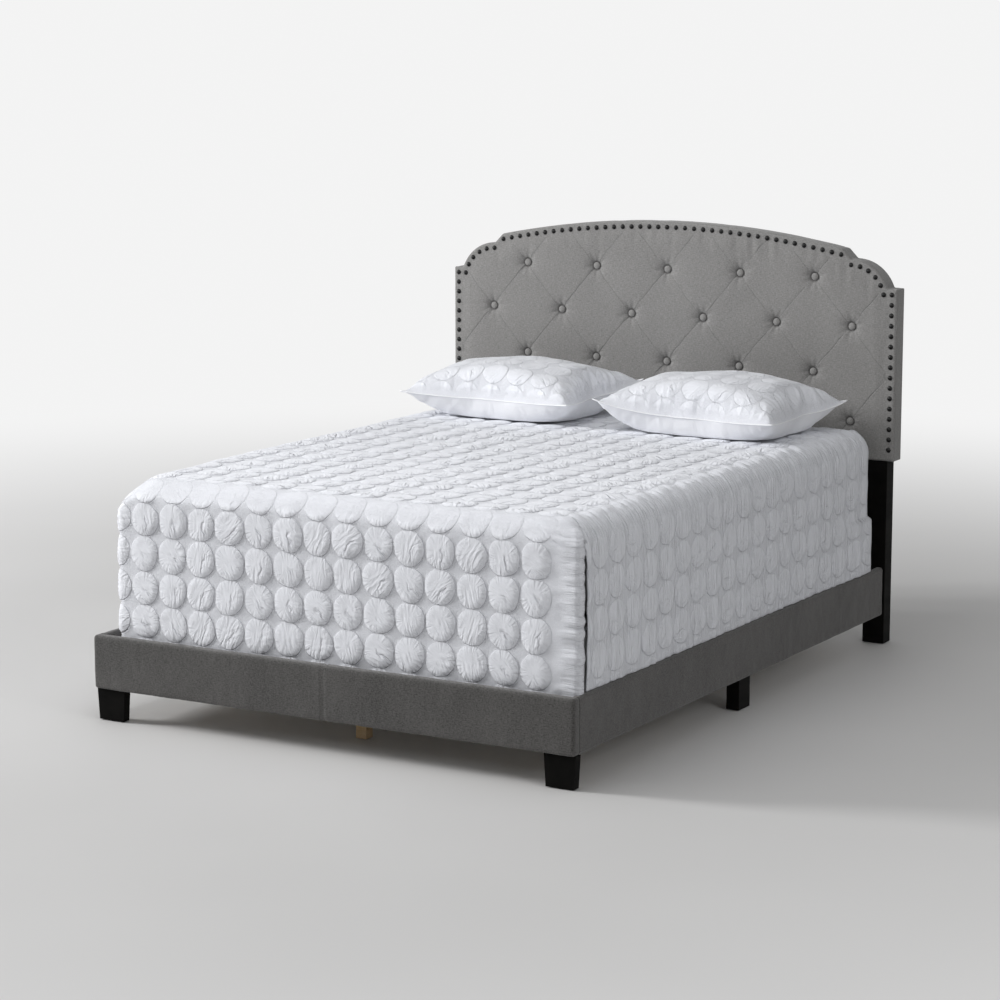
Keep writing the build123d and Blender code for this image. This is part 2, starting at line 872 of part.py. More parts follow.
def make_centre_legs():
    half = centre_leg_width / 2
    legs = []
    for y in slat_places():
        leg = block(-half, half, y - half, y + half, glide_thickness, ledger_top)
        leg = fillet(leg.edges().filter_by(Axis.Z), wood_edge_radius)
        legs.append(leg - centre_leg_screws(fit_gap))
    return group(legs)


def make_glides():
    """Plastic glides under every foot and leg."""
    foot_x, foot_middle_y = front_foot_centre()
    leg_y = (headboard_front + leg_back) / 2
    right = [
        (foot_x, foot_middle_y),
        (leg_middle_x, leg_y),
        (mid_leg_outer_x - mid_leg_width / 2, mid_leg_y),
    ]
    places = right + [(-x, y) for x, y in right] + [(0, y) for y in slat_places()]
    return group([Pos(x, y) * rod(glide_radius, 0, glide_thickness) for x, y in places])


# Box spring and mattress


def bedding_block(inset, bottom, top, corner, top_edge, bottom_edge):
    """A block with round corners and soft edges in the bedding's plan."""
    width = bedding_width - 2 * inset
    length = bedding_length - 2 * inset
    middle_y = (bedding_foot + bedding_head) / 2
    plan = Pos(bedding_shift, middle_y) * RectangleRounded(width, length, corner - inset)
    body = extrude(Plane.XY.offset(bottom + inset) * plan, amount=top - bottom - 2 * inset)
    body = fillet(body.faces().sort_by(Axis.Z)[-1].outer_wire().edges(), top_edge - inset)
    return fillet(body.faces().sort_by(Axis.Z)[0].outer_wire().edges(), bottom_edge - inset)


def box_spring_block(inset):
    return bedding_block(inset, box_spring_bottom, box_spring_top, box_spring_corner_radius,
                         box_spring_edge_radius, box_spring_edge_radius)


def make_box_spring_cover():
    return box_spring_block(0) - box_spring_block(box_spring_cover_thickness)


def make_box_spring_frame():
    """The wooden ladder in the bottom of the box spring."""
    inset = box_spring_cover_thickness + box_spring_edge_radius
    x0 = bedding_left + inset + ladder_rail_width / 2
    x1 = bedding_right - inset - ladder_rail_width / 2
    y0 = bedding_foot + inset + ladder_rail_width / 2
    y1 = bedding_head - inset - ladder_rail_width / 2
    z0 = box_spring_bottom + box_spring_cover_thickness + fit_gap
    z1 = z0 + ladder_rail_height
    rails = [
        block(x0, x0 + ladder_rail_width, y0, y1, z0, z1),
        block(x1 - ladder_rail_width, x1, y0, y1, z0, z1),
    ]
    step = (y1 - y0 - ladder_rung_width) / (ladder_rungs - 1)
    rungs = [
        block(x0 + ladder_rail_width, x1 - ladder_rail_width, y0 + i * step,
              y0 + i * step + ladder_rung_width, z0, z1)
        for i in range(ladder_rungs)
    ]
    return group(rails + rungs)


def make_box_spring_core():
    """The spring unit above the ladder, as one block."""
    inset = box_spring_cover_thickness + fit_gap
    low = box_spring_bottom + inset + ladder_rail_height
    body = box_spring_block(inset)
    below = block(-frame_width, frame_width, -bed_length, bed_length, 0, low)
    return body - below


def mattress_block(inset):
    return bedding_block(inset, mattress_bottom, mattress_top, mattress_corner_radius,
                         mattress_top_radius, mattress_bottom_radius)


def make_mattress_cover():
    return mattress_block(0) - mattress_block(mattress_cover_thickness)


def make_mattress_core():
    return mattress_block(mattress_cover_thickness + fit_gap)


def piping_ring(edge_radius, level):
    """A round tape edge resting on a rounded edge of the mattress, halfway round it."""
    share = math.sqrt(0.5)
    reach = (edge_radius + piping_radius + fit_gap) * share
    inset = edge_radius - reach
    middle_y = (bedding_foot + bedding_head) / 2
    plan = RectangleRounded(bedding_width - 2 * inset, bedding_length - 2 * inset,
                            mattress_corner_radius - inset)
    path = (Pos(bedding_shift, middle_y, level) * plan).wire()
    start = path @ 0
    section = Plane(origin=start, z_dir=path % 0) * Circle(piping_radius)
    return sweep(section, path=path)


def make_mattress_piping():
    share = math.sqrt(0.5)
    top = mattress_top - mattress_top_radius
    top += (mattress_top_radius + piping_radius + fit_gap) * share
    bottom = mattress_bottom + mattress_bottom_radius
    bottom -= (mattress_bottom_radius + piping_radius + fit_gap) * share
    return group([piping_ring(mattress_top_radius, top), piping_ring(mattress_bottom_radius, bottom)])


# Quilt


def quilt_form(left, right, foot, head, bottom, top, corner, edge):
    """A block open to the head, with round foot corners and soft upper edges."""
    body = block(left, right, foot, head, bottom, top)
    uprights = body.edges().filter_by(Axis.Z).sort_by(Axis.Y)[0:2]
    body = fillet(uprights, corner)
    rim = body.faces().sort_by(Axis.Z)[-1].edges().filter_by(lambda e: e.center().Y < head - seat_gap)
    return fillet(rim, edge)


def make_quilt():
    """The coverlet over the mattress: a top with drops at the foot and both sides."""
    outer = quilt_form(quilt_left, quilt_right, quilt_foot, quilt_head, quilt_bottom, quilt_top,
                       quilt_corner_radius, quilt_edge_radius)
    inner = quilt_form(bedding_left - quilt_clearance, bedding_right + quilt_clearance,
                       bedding_foot - quilt_clearance, quilt_head + overrun, quilt_bottom - overrun,
                       quilt_under, quilt_inner_corner_radius, quilt_inner_edge_radius)
    shell = outer - inner
    over_rail = block(rail_inner_x - fit_gap, rail_outer_x + overrun, foot_y, head_y,
                      quilt_bottom - overrun, rail_top + seat_gap)
    slit = block(bedding_right - quilt_corner_radius / 2, quilt_right + overrun,
                 quilt_foot + quilt_slit_y, quilt_foot + quilt_slit_y + quilt_slit_width,
                 quilt_bottom - overrun, rail_top + quilt_slit_height)
    return shell - over_rail - slit


# Pillows


def crowned_half(half_depth, rise):
    """Half of a pillow's section: full sides and a crown, from seam to seam."""
    side = (pillow_side_share * half_depth, pillow_side_rise_share * rise)
    shoulder = (pillow_shoulder_share * half_depth, pillow_shoulder_rise_share * rise)
    right = ThreePointArc((half_depth, 0), side, shoulder)
    crown = ThreePointArc(shoulder, (0, rise), (-shoulder[0], shoulder[1]))
    return [right, crown, mirror(right, about=Plane.YZ)]


def pillow_form(inset, side):
    """A crowned pillow: sections lofted across its width, with drawn-in sides."""
    half_width = pillow_width / 2 - inset
    up = pillow_height - pillow_seam_height - inset
    down = pillow_seam_height + pillow_belly - inset
    end = pillow_end_thickness / 2
    stations = []
    for share, crown, hollow in zip(pillow_station_shares, pillow_crown_shares, pillow_hollow_shares):
        stations.append((share * half_width, crown, hollow))
    stations = [(-x, c, h) for x, c, h in reversed(stations[1:])] + stations
    sections = []
    for x, crown, hollow in stations:
        half_depth = pillow_depth / 2 - inset - pillow_side_hollow * hollow
        top = end + (up - end) * crown
        low = end + (down - end) * crown
        lens = make_face(crowned_half(half_depth, top) + crowned_half(half_depth, -low))
        plane = Plane(origin=(x, 0, 0), x_dir=(0, 1, 0), z_dir=(1, 0, 0))
        sections.append(plane * lens)
    body = loft(sections)
    chord = pillow_depth / 2
    hollow_radius = (chord**2 + pillow_end_hollow**2) / (2 * pillow_end_hollow)
    reach = half_width - pillow_end_hollow + hollow_radius
    scoop = Cylinder(hollow_radius, 2 * pillow_height)
    body = body - [Pos(reach, 0) * scoop, Pos(-reach, 0) * scoop]
    placed = Pos(side * pillow_x + bedding_shift / 2, pillow_y, pillow_seam) * body
    floor = pillow_rest + inset
    below = block(-headboard_width, headboard_width, -bed_length, bed_length, 0, floor)
    return placed - below


def make_pillow(side):
    """The filling, the quilted top cloth and the plain back cloth of one pillow."""
    shell = pillow_form(0, side) - pillow_form(pillow_cloth, side)
    far = headboard_width
    above = block(-far, far, -bed_length, bed_length, pillow_seam, 2 * headboard_height)
    below = block(-far, far, -bed_length, bed_length, 0, pillow_seam)
    filling = pillow_form(pillow_cloth + fit_gap, side)
    return filling, shell & above, shell & below


def save_headboard():
    save(make_headboard_panel(), "headboard_panel")
    save(make_headboard_battens(), "headboard_battens")
    save(make_headboard_foam(), "headboard_foam")
    inner = headboard_inside(cloth, button_shank_radius + fit_gap)
    save(make_headboard_cover(inner), "headboard_cover")
    save(make_headboard_lining(), "headboard_lining")
    save(make_tuft_buttons(), "tuft_buttons")
    save(make_tuft_washers(), "tuft_washers")
    save(make_nail_heads(), "nail_heads")


def save_legs():
    leg = make_headboard_leg()
    save(leg, "headboard_leg_right")
    save(other_side(leg), "headboard_leg_left")
    save(group(leg_bolts()), "leg_bolts")
    save(make_leg_nuts(), "leg_nuts")
    save(group(both_sides([make_rail_bracket()])), "rail_brackets")
    save(group(both_sides(leg_side_bolts() + rail_side_bolts())), "bracket_bolts")
    save(group(both_sides(leg_inserts() + rail_inserts() + corner_inserts())), "threaded_inserts")


def save_rails():
    save(make_foot_rail_board(), "foot_rail_board")
    save(make_foot_rail_foam(), "foot_rail_foam")
    save(make_foot_rail_cover(), "foot_rail_cover")
    pieces = {
        "board": make_side_rail_board(),
        "foam": make_side_rail_foam(),
        "cover": make_side_rail_cover(),
    }
    for name, piece in pieces.items():
        save(piece, f"side_rail_right_{name}")
        save(other_side(piece), f"side_rail_left_{name}")


def save_supports():
    save(group(both_sides([make_corner_block()])), "corner_blocks")
    save(group(both_sides(corner_bolts())), "corner_bolts")
    save(group(both_sides([foot_stud()])), "foot_studs")
    foot = make_front_foot()
    save(foot, "foot_front_right")
    save(other_side(foot), "foot_front_left")
    leg = make_mid_leg()
    save(leg, "mid_leg_right")
    save(other_side(leg), "mid_leg_left")
    ledger = make_ledger()
    save(ledger, "ledger_right")
    save(other_side(ledger), "ledger_left")
    save(group(both_sides(ledger_screws() + mid_leg_screws())), "rail_screws")
    save(make_slats(), "slats")
    save(group(both_sides(slat_end_screws()) + centre_leg_screws()), "slat_screws")
    save(make_centre_legs(), "centre_legs")
    save(make_glides(), "glides")


def save_bedding():
    save(make_box_spring_frame(), "box_spring_frame")
    save(make_box_spring_core(), "box_spring_core")
    save(make_box_spring_cover(), "box_spring_cover")
    save(make_mattress_core(), "mattress_core")
    save(make_mattress_cover(), "mattress_cover")
    save(make_mattress_piping(), "mattress_piping")
    save(make_quilt(), "quilt")
    for name, side in (("left", -1), ("right", 1)):
        filling, top, back = make_pillow(side)
        save(filling, f"pillow_{name}_filling")
        save(top, f"pillow_{name}_top")
        save(back, f"pillow_{name}_back")


def main():
    os.makedirs("parts", exist_ok=True)
    save_headboard()
    save_legs()
    save_rails()
    save_supports()
    save_bedding()


main()
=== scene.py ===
import bpy
import json
import math
import numpy as np
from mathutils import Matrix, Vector
from mathutils.geometry import delaunay_2d_cdt
from mathutils.kdtree import KDTree


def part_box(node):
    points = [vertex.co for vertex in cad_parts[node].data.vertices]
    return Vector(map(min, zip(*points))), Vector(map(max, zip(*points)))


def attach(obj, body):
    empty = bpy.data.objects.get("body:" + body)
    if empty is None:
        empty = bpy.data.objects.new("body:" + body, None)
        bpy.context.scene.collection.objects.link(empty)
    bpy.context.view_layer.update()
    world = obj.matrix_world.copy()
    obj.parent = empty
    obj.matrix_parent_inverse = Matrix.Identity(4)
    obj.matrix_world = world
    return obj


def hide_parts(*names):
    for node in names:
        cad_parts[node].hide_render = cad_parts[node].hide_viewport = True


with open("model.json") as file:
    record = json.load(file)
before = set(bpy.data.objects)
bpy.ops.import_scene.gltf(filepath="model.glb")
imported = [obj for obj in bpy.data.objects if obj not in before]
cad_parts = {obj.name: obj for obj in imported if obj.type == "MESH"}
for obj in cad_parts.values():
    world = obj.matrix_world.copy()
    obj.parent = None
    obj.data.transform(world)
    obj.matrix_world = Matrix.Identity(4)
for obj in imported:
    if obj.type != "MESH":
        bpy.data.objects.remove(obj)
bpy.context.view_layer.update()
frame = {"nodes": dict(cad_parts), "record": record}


# Numbers and meshes

noise_tables = {}


def soft_noise(points, size, seed):
    """Smooth noise from -1 to 1 at points, with features of a size in metres."""
    if seed not in noise_tables:
        noise_tables[seed] = np.random.default_rng(seed).random((32, 32, 32)) * 2 - 1
    table = noise_tables[seed]
    grid = np.asarray(points, float) / size
    cell = np.floor(grid).astype(int)
    t = grid - cell
    t = t * t * (3 - 2 * t)
    total = np.zeros(grid.shape[:-1])
    for corner in range(8):
        step = [(corner >> k) & 1 for k in range(3)]
        weight = np.ones(grid.shape[:-1])
        for k in range(3):
            weight *= t[..., k] if step[k] else 1 - t[..., k]
        i, j, k = ((cell[..., a] + step[a]) % 32 for a in range(3))
        total += weight * table[i, j, k]
    return total


def smooth(value, low, high):
    """A smooth step from 0 at low to 1 at high."""
    t = np.clip((value - low) / (high - low), 0, 1)
    return t * t * (3 - 2 * t)


def points_at(*parts):
    """Points, or other rows of numbers, from their parts: arrays or single numbers."""
    return np.stack(np.broadcast_arrays(*parts), -1)


def put_in_scene(name, data):
    made = bpy.data.objects.new(name, data)
    bpy.context.scene.collection.objects.link(made)
    return made


def make_object(name, points, faces, material, cloth=None):
    """A smooth-shaded mesh, with its flat cloth coordinates if it has them."""
    mesh = bpy.data.meshes.new(name)
    mesh.from_pydata([tuple(p) for p in points], [], [tuple(int(i) for i in f) for f in faces])
    mesh.polygons.foreach_set("use_smooth", [True] * len(mesh.polygons))
    if cloth is not None:
        attribute = mesh.attributes.new("cloth", "FLOAT_VECTOR", "POINT")
        attribute.data.foreach_set("vector", np.asarray(cloth, np.float32).ravel())
    mesh.validate()
    mesh.update()
    mesh.materials.append(material)
    return put_in_scene(name, mesh)


def make_piece(name, body, slot, points, faces, material, cloth=None):
    """A mesh that moves with a body and takes the material given; its slot is not used."""
    piece = make_object(name, points, faces, material, cloth)
    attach(piece, body)
    return piece


def grid_faces(rows, columns, start=0, close=False):
    """Quads of a grid of points stored row by row."""
    i, j = np.meshgrid(np.arange(rows - 1), np.arange(columns if close else columns - 1), indexing="ij")
    k = (j + 1) % columns
    quads = np.stack([i * columns + j, i * columns + k, (i + 1) * columns + k, (i + 1) * columns + j], -1)
    return (quads + start).reshape(-1, 4)


other_side = [0, 3, 2, 1]


def evenly_spaced(points, step):
    """A closed flat line with its points evenly about a step apart."""
    ends = np.vstack([points, points[:1]])
    lengths = np.r_[0, np.cumsum(np.linalg.norm(np.diff(ends, axis=0), axis=1))]
    even = np.linspace(0, lengths[-1], int(lengths[-1] / step), endpoint=False)
    return points_at(*(np.interp(even, lengths, way) for way in ends.T))


def directions(line):
    """The way that a closed line runs at each of its points."""
    along = np.roll(line, -1, axis=0) - np.roll(line, 1, axis=0)
    return along / np.linalg.norm(along, axis=1, keepdims=True)


def edge_finder(line):
    """A function that measures how far points are from a closed line."""
    tree = KDTree(len(line))
    for i, (x, z) in enumerate(line):
        tree.insert((x, z, 0), i)
    tree.balance()
    return lambda points: np.array([tree.find((x, z, 0))[2] for x, z in points])


def filled(line, *others):
    """Points and triangles that fill a closed line and take in the other points."""
    edges = [(i, (i + 1) % len(line)) for i in range(len(line))]
    made = delaunay_2d_cdt([Vector(p) for p in np.vstack([line, *others])], edges, [], 1, 1e-7)
    return np.array([tuple(v) for v in made[0]]), [tuple(f) for f in made[2]]


def grid_normals(points):
    """Normals of a grid of points, rows by columns by three."""
    normal = np.cross(np.gradient(points, axis=1), np.gradient(points, axis=0))
    return normal / np.maximum(np.linalg.norm(normal, axis=2, keepdims=True), 1e-12)


def weld(made, distance):
    modifier = made.modifiers.new("weld", "WELD")
    modifier.merge_threshold = distance


# Materials


class Graph:
    """A node tree under construction."""

    def __init__(self, tree):
        self.tree = tree

    def put(self, socket, value):
        if isinstance(value, bpy.types.NodeSocket):
            self.tree.links.new(value, socket)
        else:
            socket.default_value = value

    def node(self, kind, *values, **settings):
        """A node with its settings, and a value or a link for each of its first inputs."""
        made = self.tree.nodes.new(f"ShaderNode{kind}")
        for setting, value in settings.items():
            setattr(made, setting, value)
        for socket, value in zip(made.inputs, values):
            self.put(socket, value)
        return made

    def math(self, operation, *values):
        return self.node("Math", *values, operation=operation).outputs[0]

    def plus(self, first, second):
        return self.math("ADD", first, second)

    def minus(self, first, second):
        return self.math("SUBTRACT", first, second)

    def times(self, first, second):
        return self.math("MULTIPLY", first, second)

    def times_plus(self, first, second, third):
        """The first times the second, plus the third."""
        return self.math("MULTIPLY_ADD", first, second, third)

    def apart(self, first, second):
        """How far two values are apart."""
        return self.math("ABSOLUTE", self.minus(first, second))

    def off_whole(self, value):
        """A value less the nearest whole number."""
        return self.minus(value, self.math("ROUND", value))

    def vector(self, operation, *values):
        node = self.node("VectorMath", *values, operation=operation)
        return node.outputs["Value"] if operation in ("LENGTH", "DOT_PRODUCT") else node.outputs[0]

    def scaled(self, vector, x, y, z):
        return self.vector("MULTIPLY", vector, (x, y, z))

    def parts(self, vector):
        return self.node("SeparateXYZ", vector).outputs

    def join(self, x, y, z=0.0):
        return self.node("CombineXYZ", x, y, z).outputs[0]

    def noise(self, vector, scale, detail=2.0, roughness=0.5):
        w = 0.0
        return self.node("TexNoise", vector, w, scale, detail, roughness).outputs[0]

    def span(self, value, low, high, out_low=0.0, out_high=1.0):
        """A smooth step between two values."""
        node = self.node("MapRange", value, low, high, out_low, out_high, interpolation_type="SMOOTHSTEP")
        return node.outputs[0]

    def ramp(self, value, *stops):
        """Colours at places between 0 and 1."""
        node = self.node("ValToRGB", value)
        elements = node.color_ramp.elements
        while len(elements) < len(stops):
            elements.new(0.5)
        for element, (place, colour) in zip(elements, stops):
            element.position = place
            element.color = (*colour, 1)
        return node.outputs[0]

    def mix(self, share, first, second):
        node = self.node("Mix", share, data_type="RGBA")
        for socket, value in ((node.inputs[6], first), (node.inputs[7], second)):
            self.put(socket, (*value, 1) if isinstance(value, tuple) else value)
        return node.outputs[2]


class Paint(Graph):
    """A node material under construction."""

    def __init__(self, name, roughness, **sockets):
        self.material = bpy.data.materials.new(name)
        self.material.use_nodes = True
        super().__init__(self.material.node_tree)
        self.shader = self.tree.nodes["Principled BSDF"]
        self.rough(roughness)
        for socket, value in sockets.items():
            self.shader.inputs[socket.replace("_", " ")].default_value = value
        self.place = self.node("TexCoord").outputs["Object"]

    def cloth(self):
        """The three flat cloth numbers that the mesh carries."""
        return self.parts(self.node("Attribute", attribute_name="cloth").outputs["Vector"])

    def colour(self, value):
        self.put(self.shader.inputs["Base Color"], value)

    def rough(self, value):
        self.put(self.shader.inputs["Roughness"], value)

    def bump(self, height, depth, strength=1.0):
        """Raises the surface by a height of 1 to a depth in metres."""
        node = self.node("Bump")
        for socket, value in (("Strength", strength), ("Distance", depth), ("Height", height)):
            self.put(node.inputs[socket], value)
        self.put(self.shader.inputs["Normal"], node.outputs[0])


button_pitch = 0.273
button_rows = 0.158
thread_pitch = 0.0021


def linen(name, dark, light, spread=(0.36, 0.72), tufted=False):
    """Heathered linen: threads both ways with slubs and mottled colour, and creases where it is tufted, with
    painted shade darkening the creases and a ring round each button.
    """
    p = Paint(name, 0.92, Sheen_Weight=0.25, Sheen_Roughness=0.6, Specular_IOR_Level=0.25)
    x, y, z = p.parts(p.place)
    across = p.plus(x, y)
    flat = p.join(across, 0.0, z)
    weft = p.noise(p.scaled(flat, 70, 1, 620), 1.0, 3.0, 0.6)
    warp = p.noise(p.scaled(flat, 620, 1, 70), 1.0, 3.0, 0.6)
    mottle = p.noise(p.scaled(flat, 1, 1, 1.7), 150, 4.0, 0.65)
    cloud = p.noise(flat, 5)
    threads = p.times_plus(p.plus(weft, warp), 0.3, p.times(mottle, 0.4))
    tone = p.times_plus(cloud, 0.1, threads)
    ridges = [p.math("SINE", p.times(way, 2 * math.pi / thread_pitch)) for way in (across, z)]
    weave = p.times_plus(p.times(*ridges), 0.25, p.times(threads, 1.6))
    colour = p.ramp(tone, (spread[0], dark), (spread[1], light))
    if tufted:
        line_a, line_b, field = p.cloth()
        wander = p.times(p.minus(p.noise(flat, 22), 0.5), 0.05)
        marks = []
        for line, most in ((line_b, 0.8), (line_a, 0.5)):
            gap = p.math("ABSOLUTE", p.off_whole(p.plus(line, wander)))
            fade = p.span(p.noise(flat, 9, 1.0), 0.3, 0.55, 0.35, most)
            marks.append(p.times(p.span(gap, 0.0125, 0.0), fade))
        crease = p.times(p.math("MAXIMUM", *marks), field)
        weave = p.times_plus(crease, -3.5, weave)
        off_a, off_b = p.off_whole(line_a), p.off_whole(line_b)
        from_button = p.vector("LENGTH", p.join(p.times(p.plus(off_a, off_b), button_pitch / 2),
                                                p.times(p.minus(off_a, off_b), button_rows)))
        # Painted shade: the colour is darkened along the creases and in a ring round each button, where the
        # tufted cloth dips into shadow.
        ring = p.times(p.span(from_button, 0.021, 0.0135), field)
        shade = p.math("MAXIMUM", p.times(crease, 0.3), p.times(ring, 0.6))
        colour = p.mix(shade, colour, tuple(v * 0.35 for v in dark))
    p.colour(colour)
    p.bump(weave, 0.0006, 0.8)
    return p.material


cotton_sheen = {"Sheen_Weight": 0.15, "Sheen_Roughness": 0.5, "Specular_IOR_Level": 0.3}


def plain_cotton(name, colour, shade):
    """Fine plain cotton with small soft creases."""
    p = Paint(name, 0.8, **cotton_sheen)
    cloud = p.noise(p.place, 9, 3.0)
    p.colour(p.ramp(cloud, (0.3, shade), (0.7, colour)))
    crease = p.noise(p.place, 38, 4.0, 0.6)
    thread = p.noise(p.place, 1500, 1.0)
    p.bump(p.times_plus(thread, 0.06, crease), 0.0016, 0.55)
    return p.material


circle_pitch = 0.1015
circle_row_pitch = 0.102
circle_radius = 0.0522
circle_squeeze = 1.05
first_column = -0.04
first_row = -1.1523
slit_strip = (0.735, 0.81)


def circle_quilting(name):
    """White cotton quilted in circles: stitch lines, puckers inside, stippling between, with painted shade
    in the stitches, pinches and stipple and on each circle's lower right side.
    """
    p = Paint(name, 0.82, **cotton_sheen)
    u, v, puff = p.cloth()
    place = p.join(u, v)
    cell_u = p.math("DIVIDE", p.minus(u, first_column), circle_pitch)
    cell_v = p.math("DIVIDE", p.minus(v, first_row), circle_row_pitch)
    near_u = p.math("ROUND", cell_u)
    near_v = p.math("ROUND", cell_v)
    offset = p.join(p.times(p.minus(cell_u, near_u), circle_pitch * circle_squeeze),
                    p.times(p.minus(cell_v, near_v), circle_row_pitch))
    wobble = p.minus(p.noise(place, 40, 1.0), 0.5)
    radius = p.times_plus(wobble, 0.004, p.vector("LENGTH", offset))
    inside = p.times(p.span(radius, circle_radius - 0.0008, circle_radius - 0.0028), puff)
    low_side = p.vector("DOT_PRODUCT", offset, (14.0, -14.0, 0.0))
    stitch = p.times(p.span(p.apart(radius, circle_radius), 0.0024, 0.0), puff)
    stitch = p.times(stitch, p.span(low_side, -0.7, 0.7, 0.1, 1.0))
    rim = p.times(p.span(radius, 0.012, circle_radius), inside)
    cell = p.join(p.times(near_u, 7.3), p.times(near_v, 3.9))
    spoke = p.scaled(p.vector("NORMALIZE", offset), 5.5, 5.5, 0)
    pucker = p.noise(p.vector("ADD", spoke, p.vector("ADD", cell, p.scaled(offset, 12, 12, 0))), 1.0)
    stipple = p.span(p.apart(p.noise(place, 260, 1.0), 0.5), 0.0, 0.07)
    stipple = p.times(stipple, p.minus(1.0, inside))
    crease = p.noise(place, 60, 3.0, 0.6)

    # Each circle has its own turn, along which its folds and its pinch lie.
    chance = p.node("TexWhiteNoise", p.join(near_u, near_v), noise_dimensions="2D").outputs["Value"]
    middle, axis = (0.0, 0.0, 0.0), (0.0, 0.0, 1.0)
    turned = p.node("VectorRotate", p.vector("SUBTRACT", offset, (0.012, -0.013, 0.0)), middle, axis,
                    p.times_plus(chance, 2.0, 0.4), rotation_type="Z_AXIS").outputs[0]
    fold = p.noise(p.vector("ADD", p.scaled(turned, 16, 62, 0), p.scaled(cell, 1.7, 2.3, 0)), 1.0, 1.5)
    fold = p.minus(1.0, p.times(p.apart(fold, 0.5), 6.0))
    fold = p.times(p.times(fold, p.span(low_side, -0.7, 0.7, 0.15, 1.0)), inside)
    along, across, flat = p.parts(turned)
    across = p.times_plus(wobble, 0.03, across)
    pinch = p.times(p.span(p.math("ABSOLUTE", across), 0.007, 0.0),
                    p.span(p.math("ABSOLUTE", along), 0.032, 0.012))
    deep = p.span(p.math("FRACT", p.times(chance, 7.0)), 0.1, 0.6)
    pinch = p.times(p.times(pinch, deep), inside)

    hung = p.span(u, *slit_strip)
    ripple = p.times(p.noise(p.join(p.times(v, 105.0), p.times(u, 9.0)), 1.0), hung)
    height = p.times_plus(stitch, -0.9, p.times(stipple, 0.5))
    marks = ((ripple, 14.0), (p.times(rim, pucker), 4.4), (pinch, -3.2), (crease, 0.9), (fold, 1.9))
    for mark, rise in marks:
        height = p.times_plus(mark, rise, height)
    p.bump(height, 0.001)
    # Painted shade: the colour darkens along the stitches and pinches (less on the hanging strip by the
    # slit) and along the stipple lines, most on each circle's lower right.
    shade = p.times_plus(pinch, 0.3, p.times(stitch, 0.3))
    shade = p.times(shade, p.times_plus(hung, -0.7, 1.0))
    shade = p.times_plus(stipple, 0.2, shade)
    # Painted shadow: the lower right inside each circle's rim is darkened, as if the puff were lit from the
    # upper left.
    shade = p.times_plus(p.times(p.span(low_side, 0.2, 1.0), rim), 0.28, shade)
    p.colour(p.mix(shade, (0.8, 0.815, 0.86), (0.56, 0.57, 0.62)))
    return p.material


def wood(name, dark, light, roughness, grain=1.0):
    """Wood with long grain and fine pores."""
    p = Paint(name, roughness, Specular_IOR_Level=0.04)
    rings = p.noise(p.scaled(p.place, 14, 3, 14), 1.6, 4.0, 0.6)
    pores = p.noise(p.scaled(p.place, 420, 30, 420), 1.0)
    tone = p.times_plus(pores, 0.25, p.times(rings, 0.75))
    p.colour(p.ramp(tone, (0.35, dark), (0.65, light)))
    p.rough(p.span(tone, 0.3, 0.7, roughness + 0.08, roughness - 0.05))
    p.bump(tone, 0.0005 * grain, 0.6)
    return p.material


def metal(name, dark, light, roughness, metallic=1.0):
    p = Paint(name, roughness, Metallic=metallic)
    cloud = p.noise(p.place, 160, 3.0)
    p.colour(p.ramp(cloud, (0.3, dark), (0.7, light)))
    p.rough(p.span(cloud, 0.2, 0.8, roughness - 0.06, roughness + 0.1))
    p.bump(cloud, 0.0002, 0.4)
    return p.material


def moulded(name, dark, light):
    p = Paint(name, 0.6)
    grain = p.noise(p.place, 900)
    p.colour(p.ramp(grain, (0.3, dark), (0.7, light)))
    p.bump(grain, 0.0002, 0.5)
    return p.material


def thin_lining(name):
    """Black non-woven lining with its fine pressed dots."""
    p = Paint(name, 0.95)
    x, y, z = p.parts(p.place)
    dots = p.times(*(p.math("SINE", p.times(way, 1900)) for way in (x, z)))
    cloud = p.noise(p.place, 30, 3.0)
    p.colour(p.ramp(cloud, (0.3, (0.012, 0.012, 0.013)), (0.7, (0.03, 0.03, 0.032))))
    p.bump(p.times_plus(dots, 0.4, cloud), 0.0008, 0.6)
    return p.material


grey_linen = linen("grey_linen", (0.15, 0.147, 0.143), (0.33, 0.325, 0.318))
tufted_linen = linen("grey_linen_tufted", (0.115, 0.1127, 0.1095), (0.315, 0.31, 0.304), (0.37, 0.69),
                     tufted=True)
# The rails are the same linen as the headboard, given darker colours as painted shade for the shadow they
# sit in.
rail_linen_painted_shade = linen("grey_linen_rails_painted_shade", (0.015, 0.0144, 0.0137), (0.1, 0.096, 0.092), (0.432, 0.61))
white_quilting = circle_quilting("white_quilting")
white_cotton = plain_cotton("white_cotton", (0.87, 0.878, 0.905), (0.83, 0.838, 0.866))
ticking = plain_cotton("white_ticking", (0.8, 0.8, 0.79), (0.74, 0.74, 0.73))
lining = thin_lining("black_lining")
slot_paint = {
    "grey_linen": grey_linen, "white_ticking": ticking, "black_lining": lining,
    "black_wood": wood("black_wood", (0.003, 0.003, 0.0028), (0.007, 0.0065, 0.006), 0.5, 0.3),
    "pine": wood("pine", (0.5, 0.34, 0.18), (0.72, 0.55, 0.35), 0.6),
    "plywood": wood("plywood", (0.42, 0.28, 0.16), (0.62, 0.46, 0.29), 0.65),
    "black_nails": metal("black_nails", (0.004, 0.004, 0.004), (0.012, 0.012, 0.012), 0.3, 0.6),
    "steel": metal("steel", (0.45, 0.45, 0.46), (0.62, 0.62, 0.63), 0.35),
    "black_plastic": moulded("black_plastic", (0.012, 0.012, 0.012), (0.03, 0.03, 0.03)),
}
for part in frame["record"]["subparts"]:
    materials = frame["nodes"][part["node"]].data.materials
    materials.clear()
    materials.append(slot_paint.get(part["material_slot"], white_cotton))


# Headboard

half_width = 0.843
board_bottom = 0.617
board_top = 1.378
board_front = 1.04
board_back = 1.1035
top_buttons = 1.216


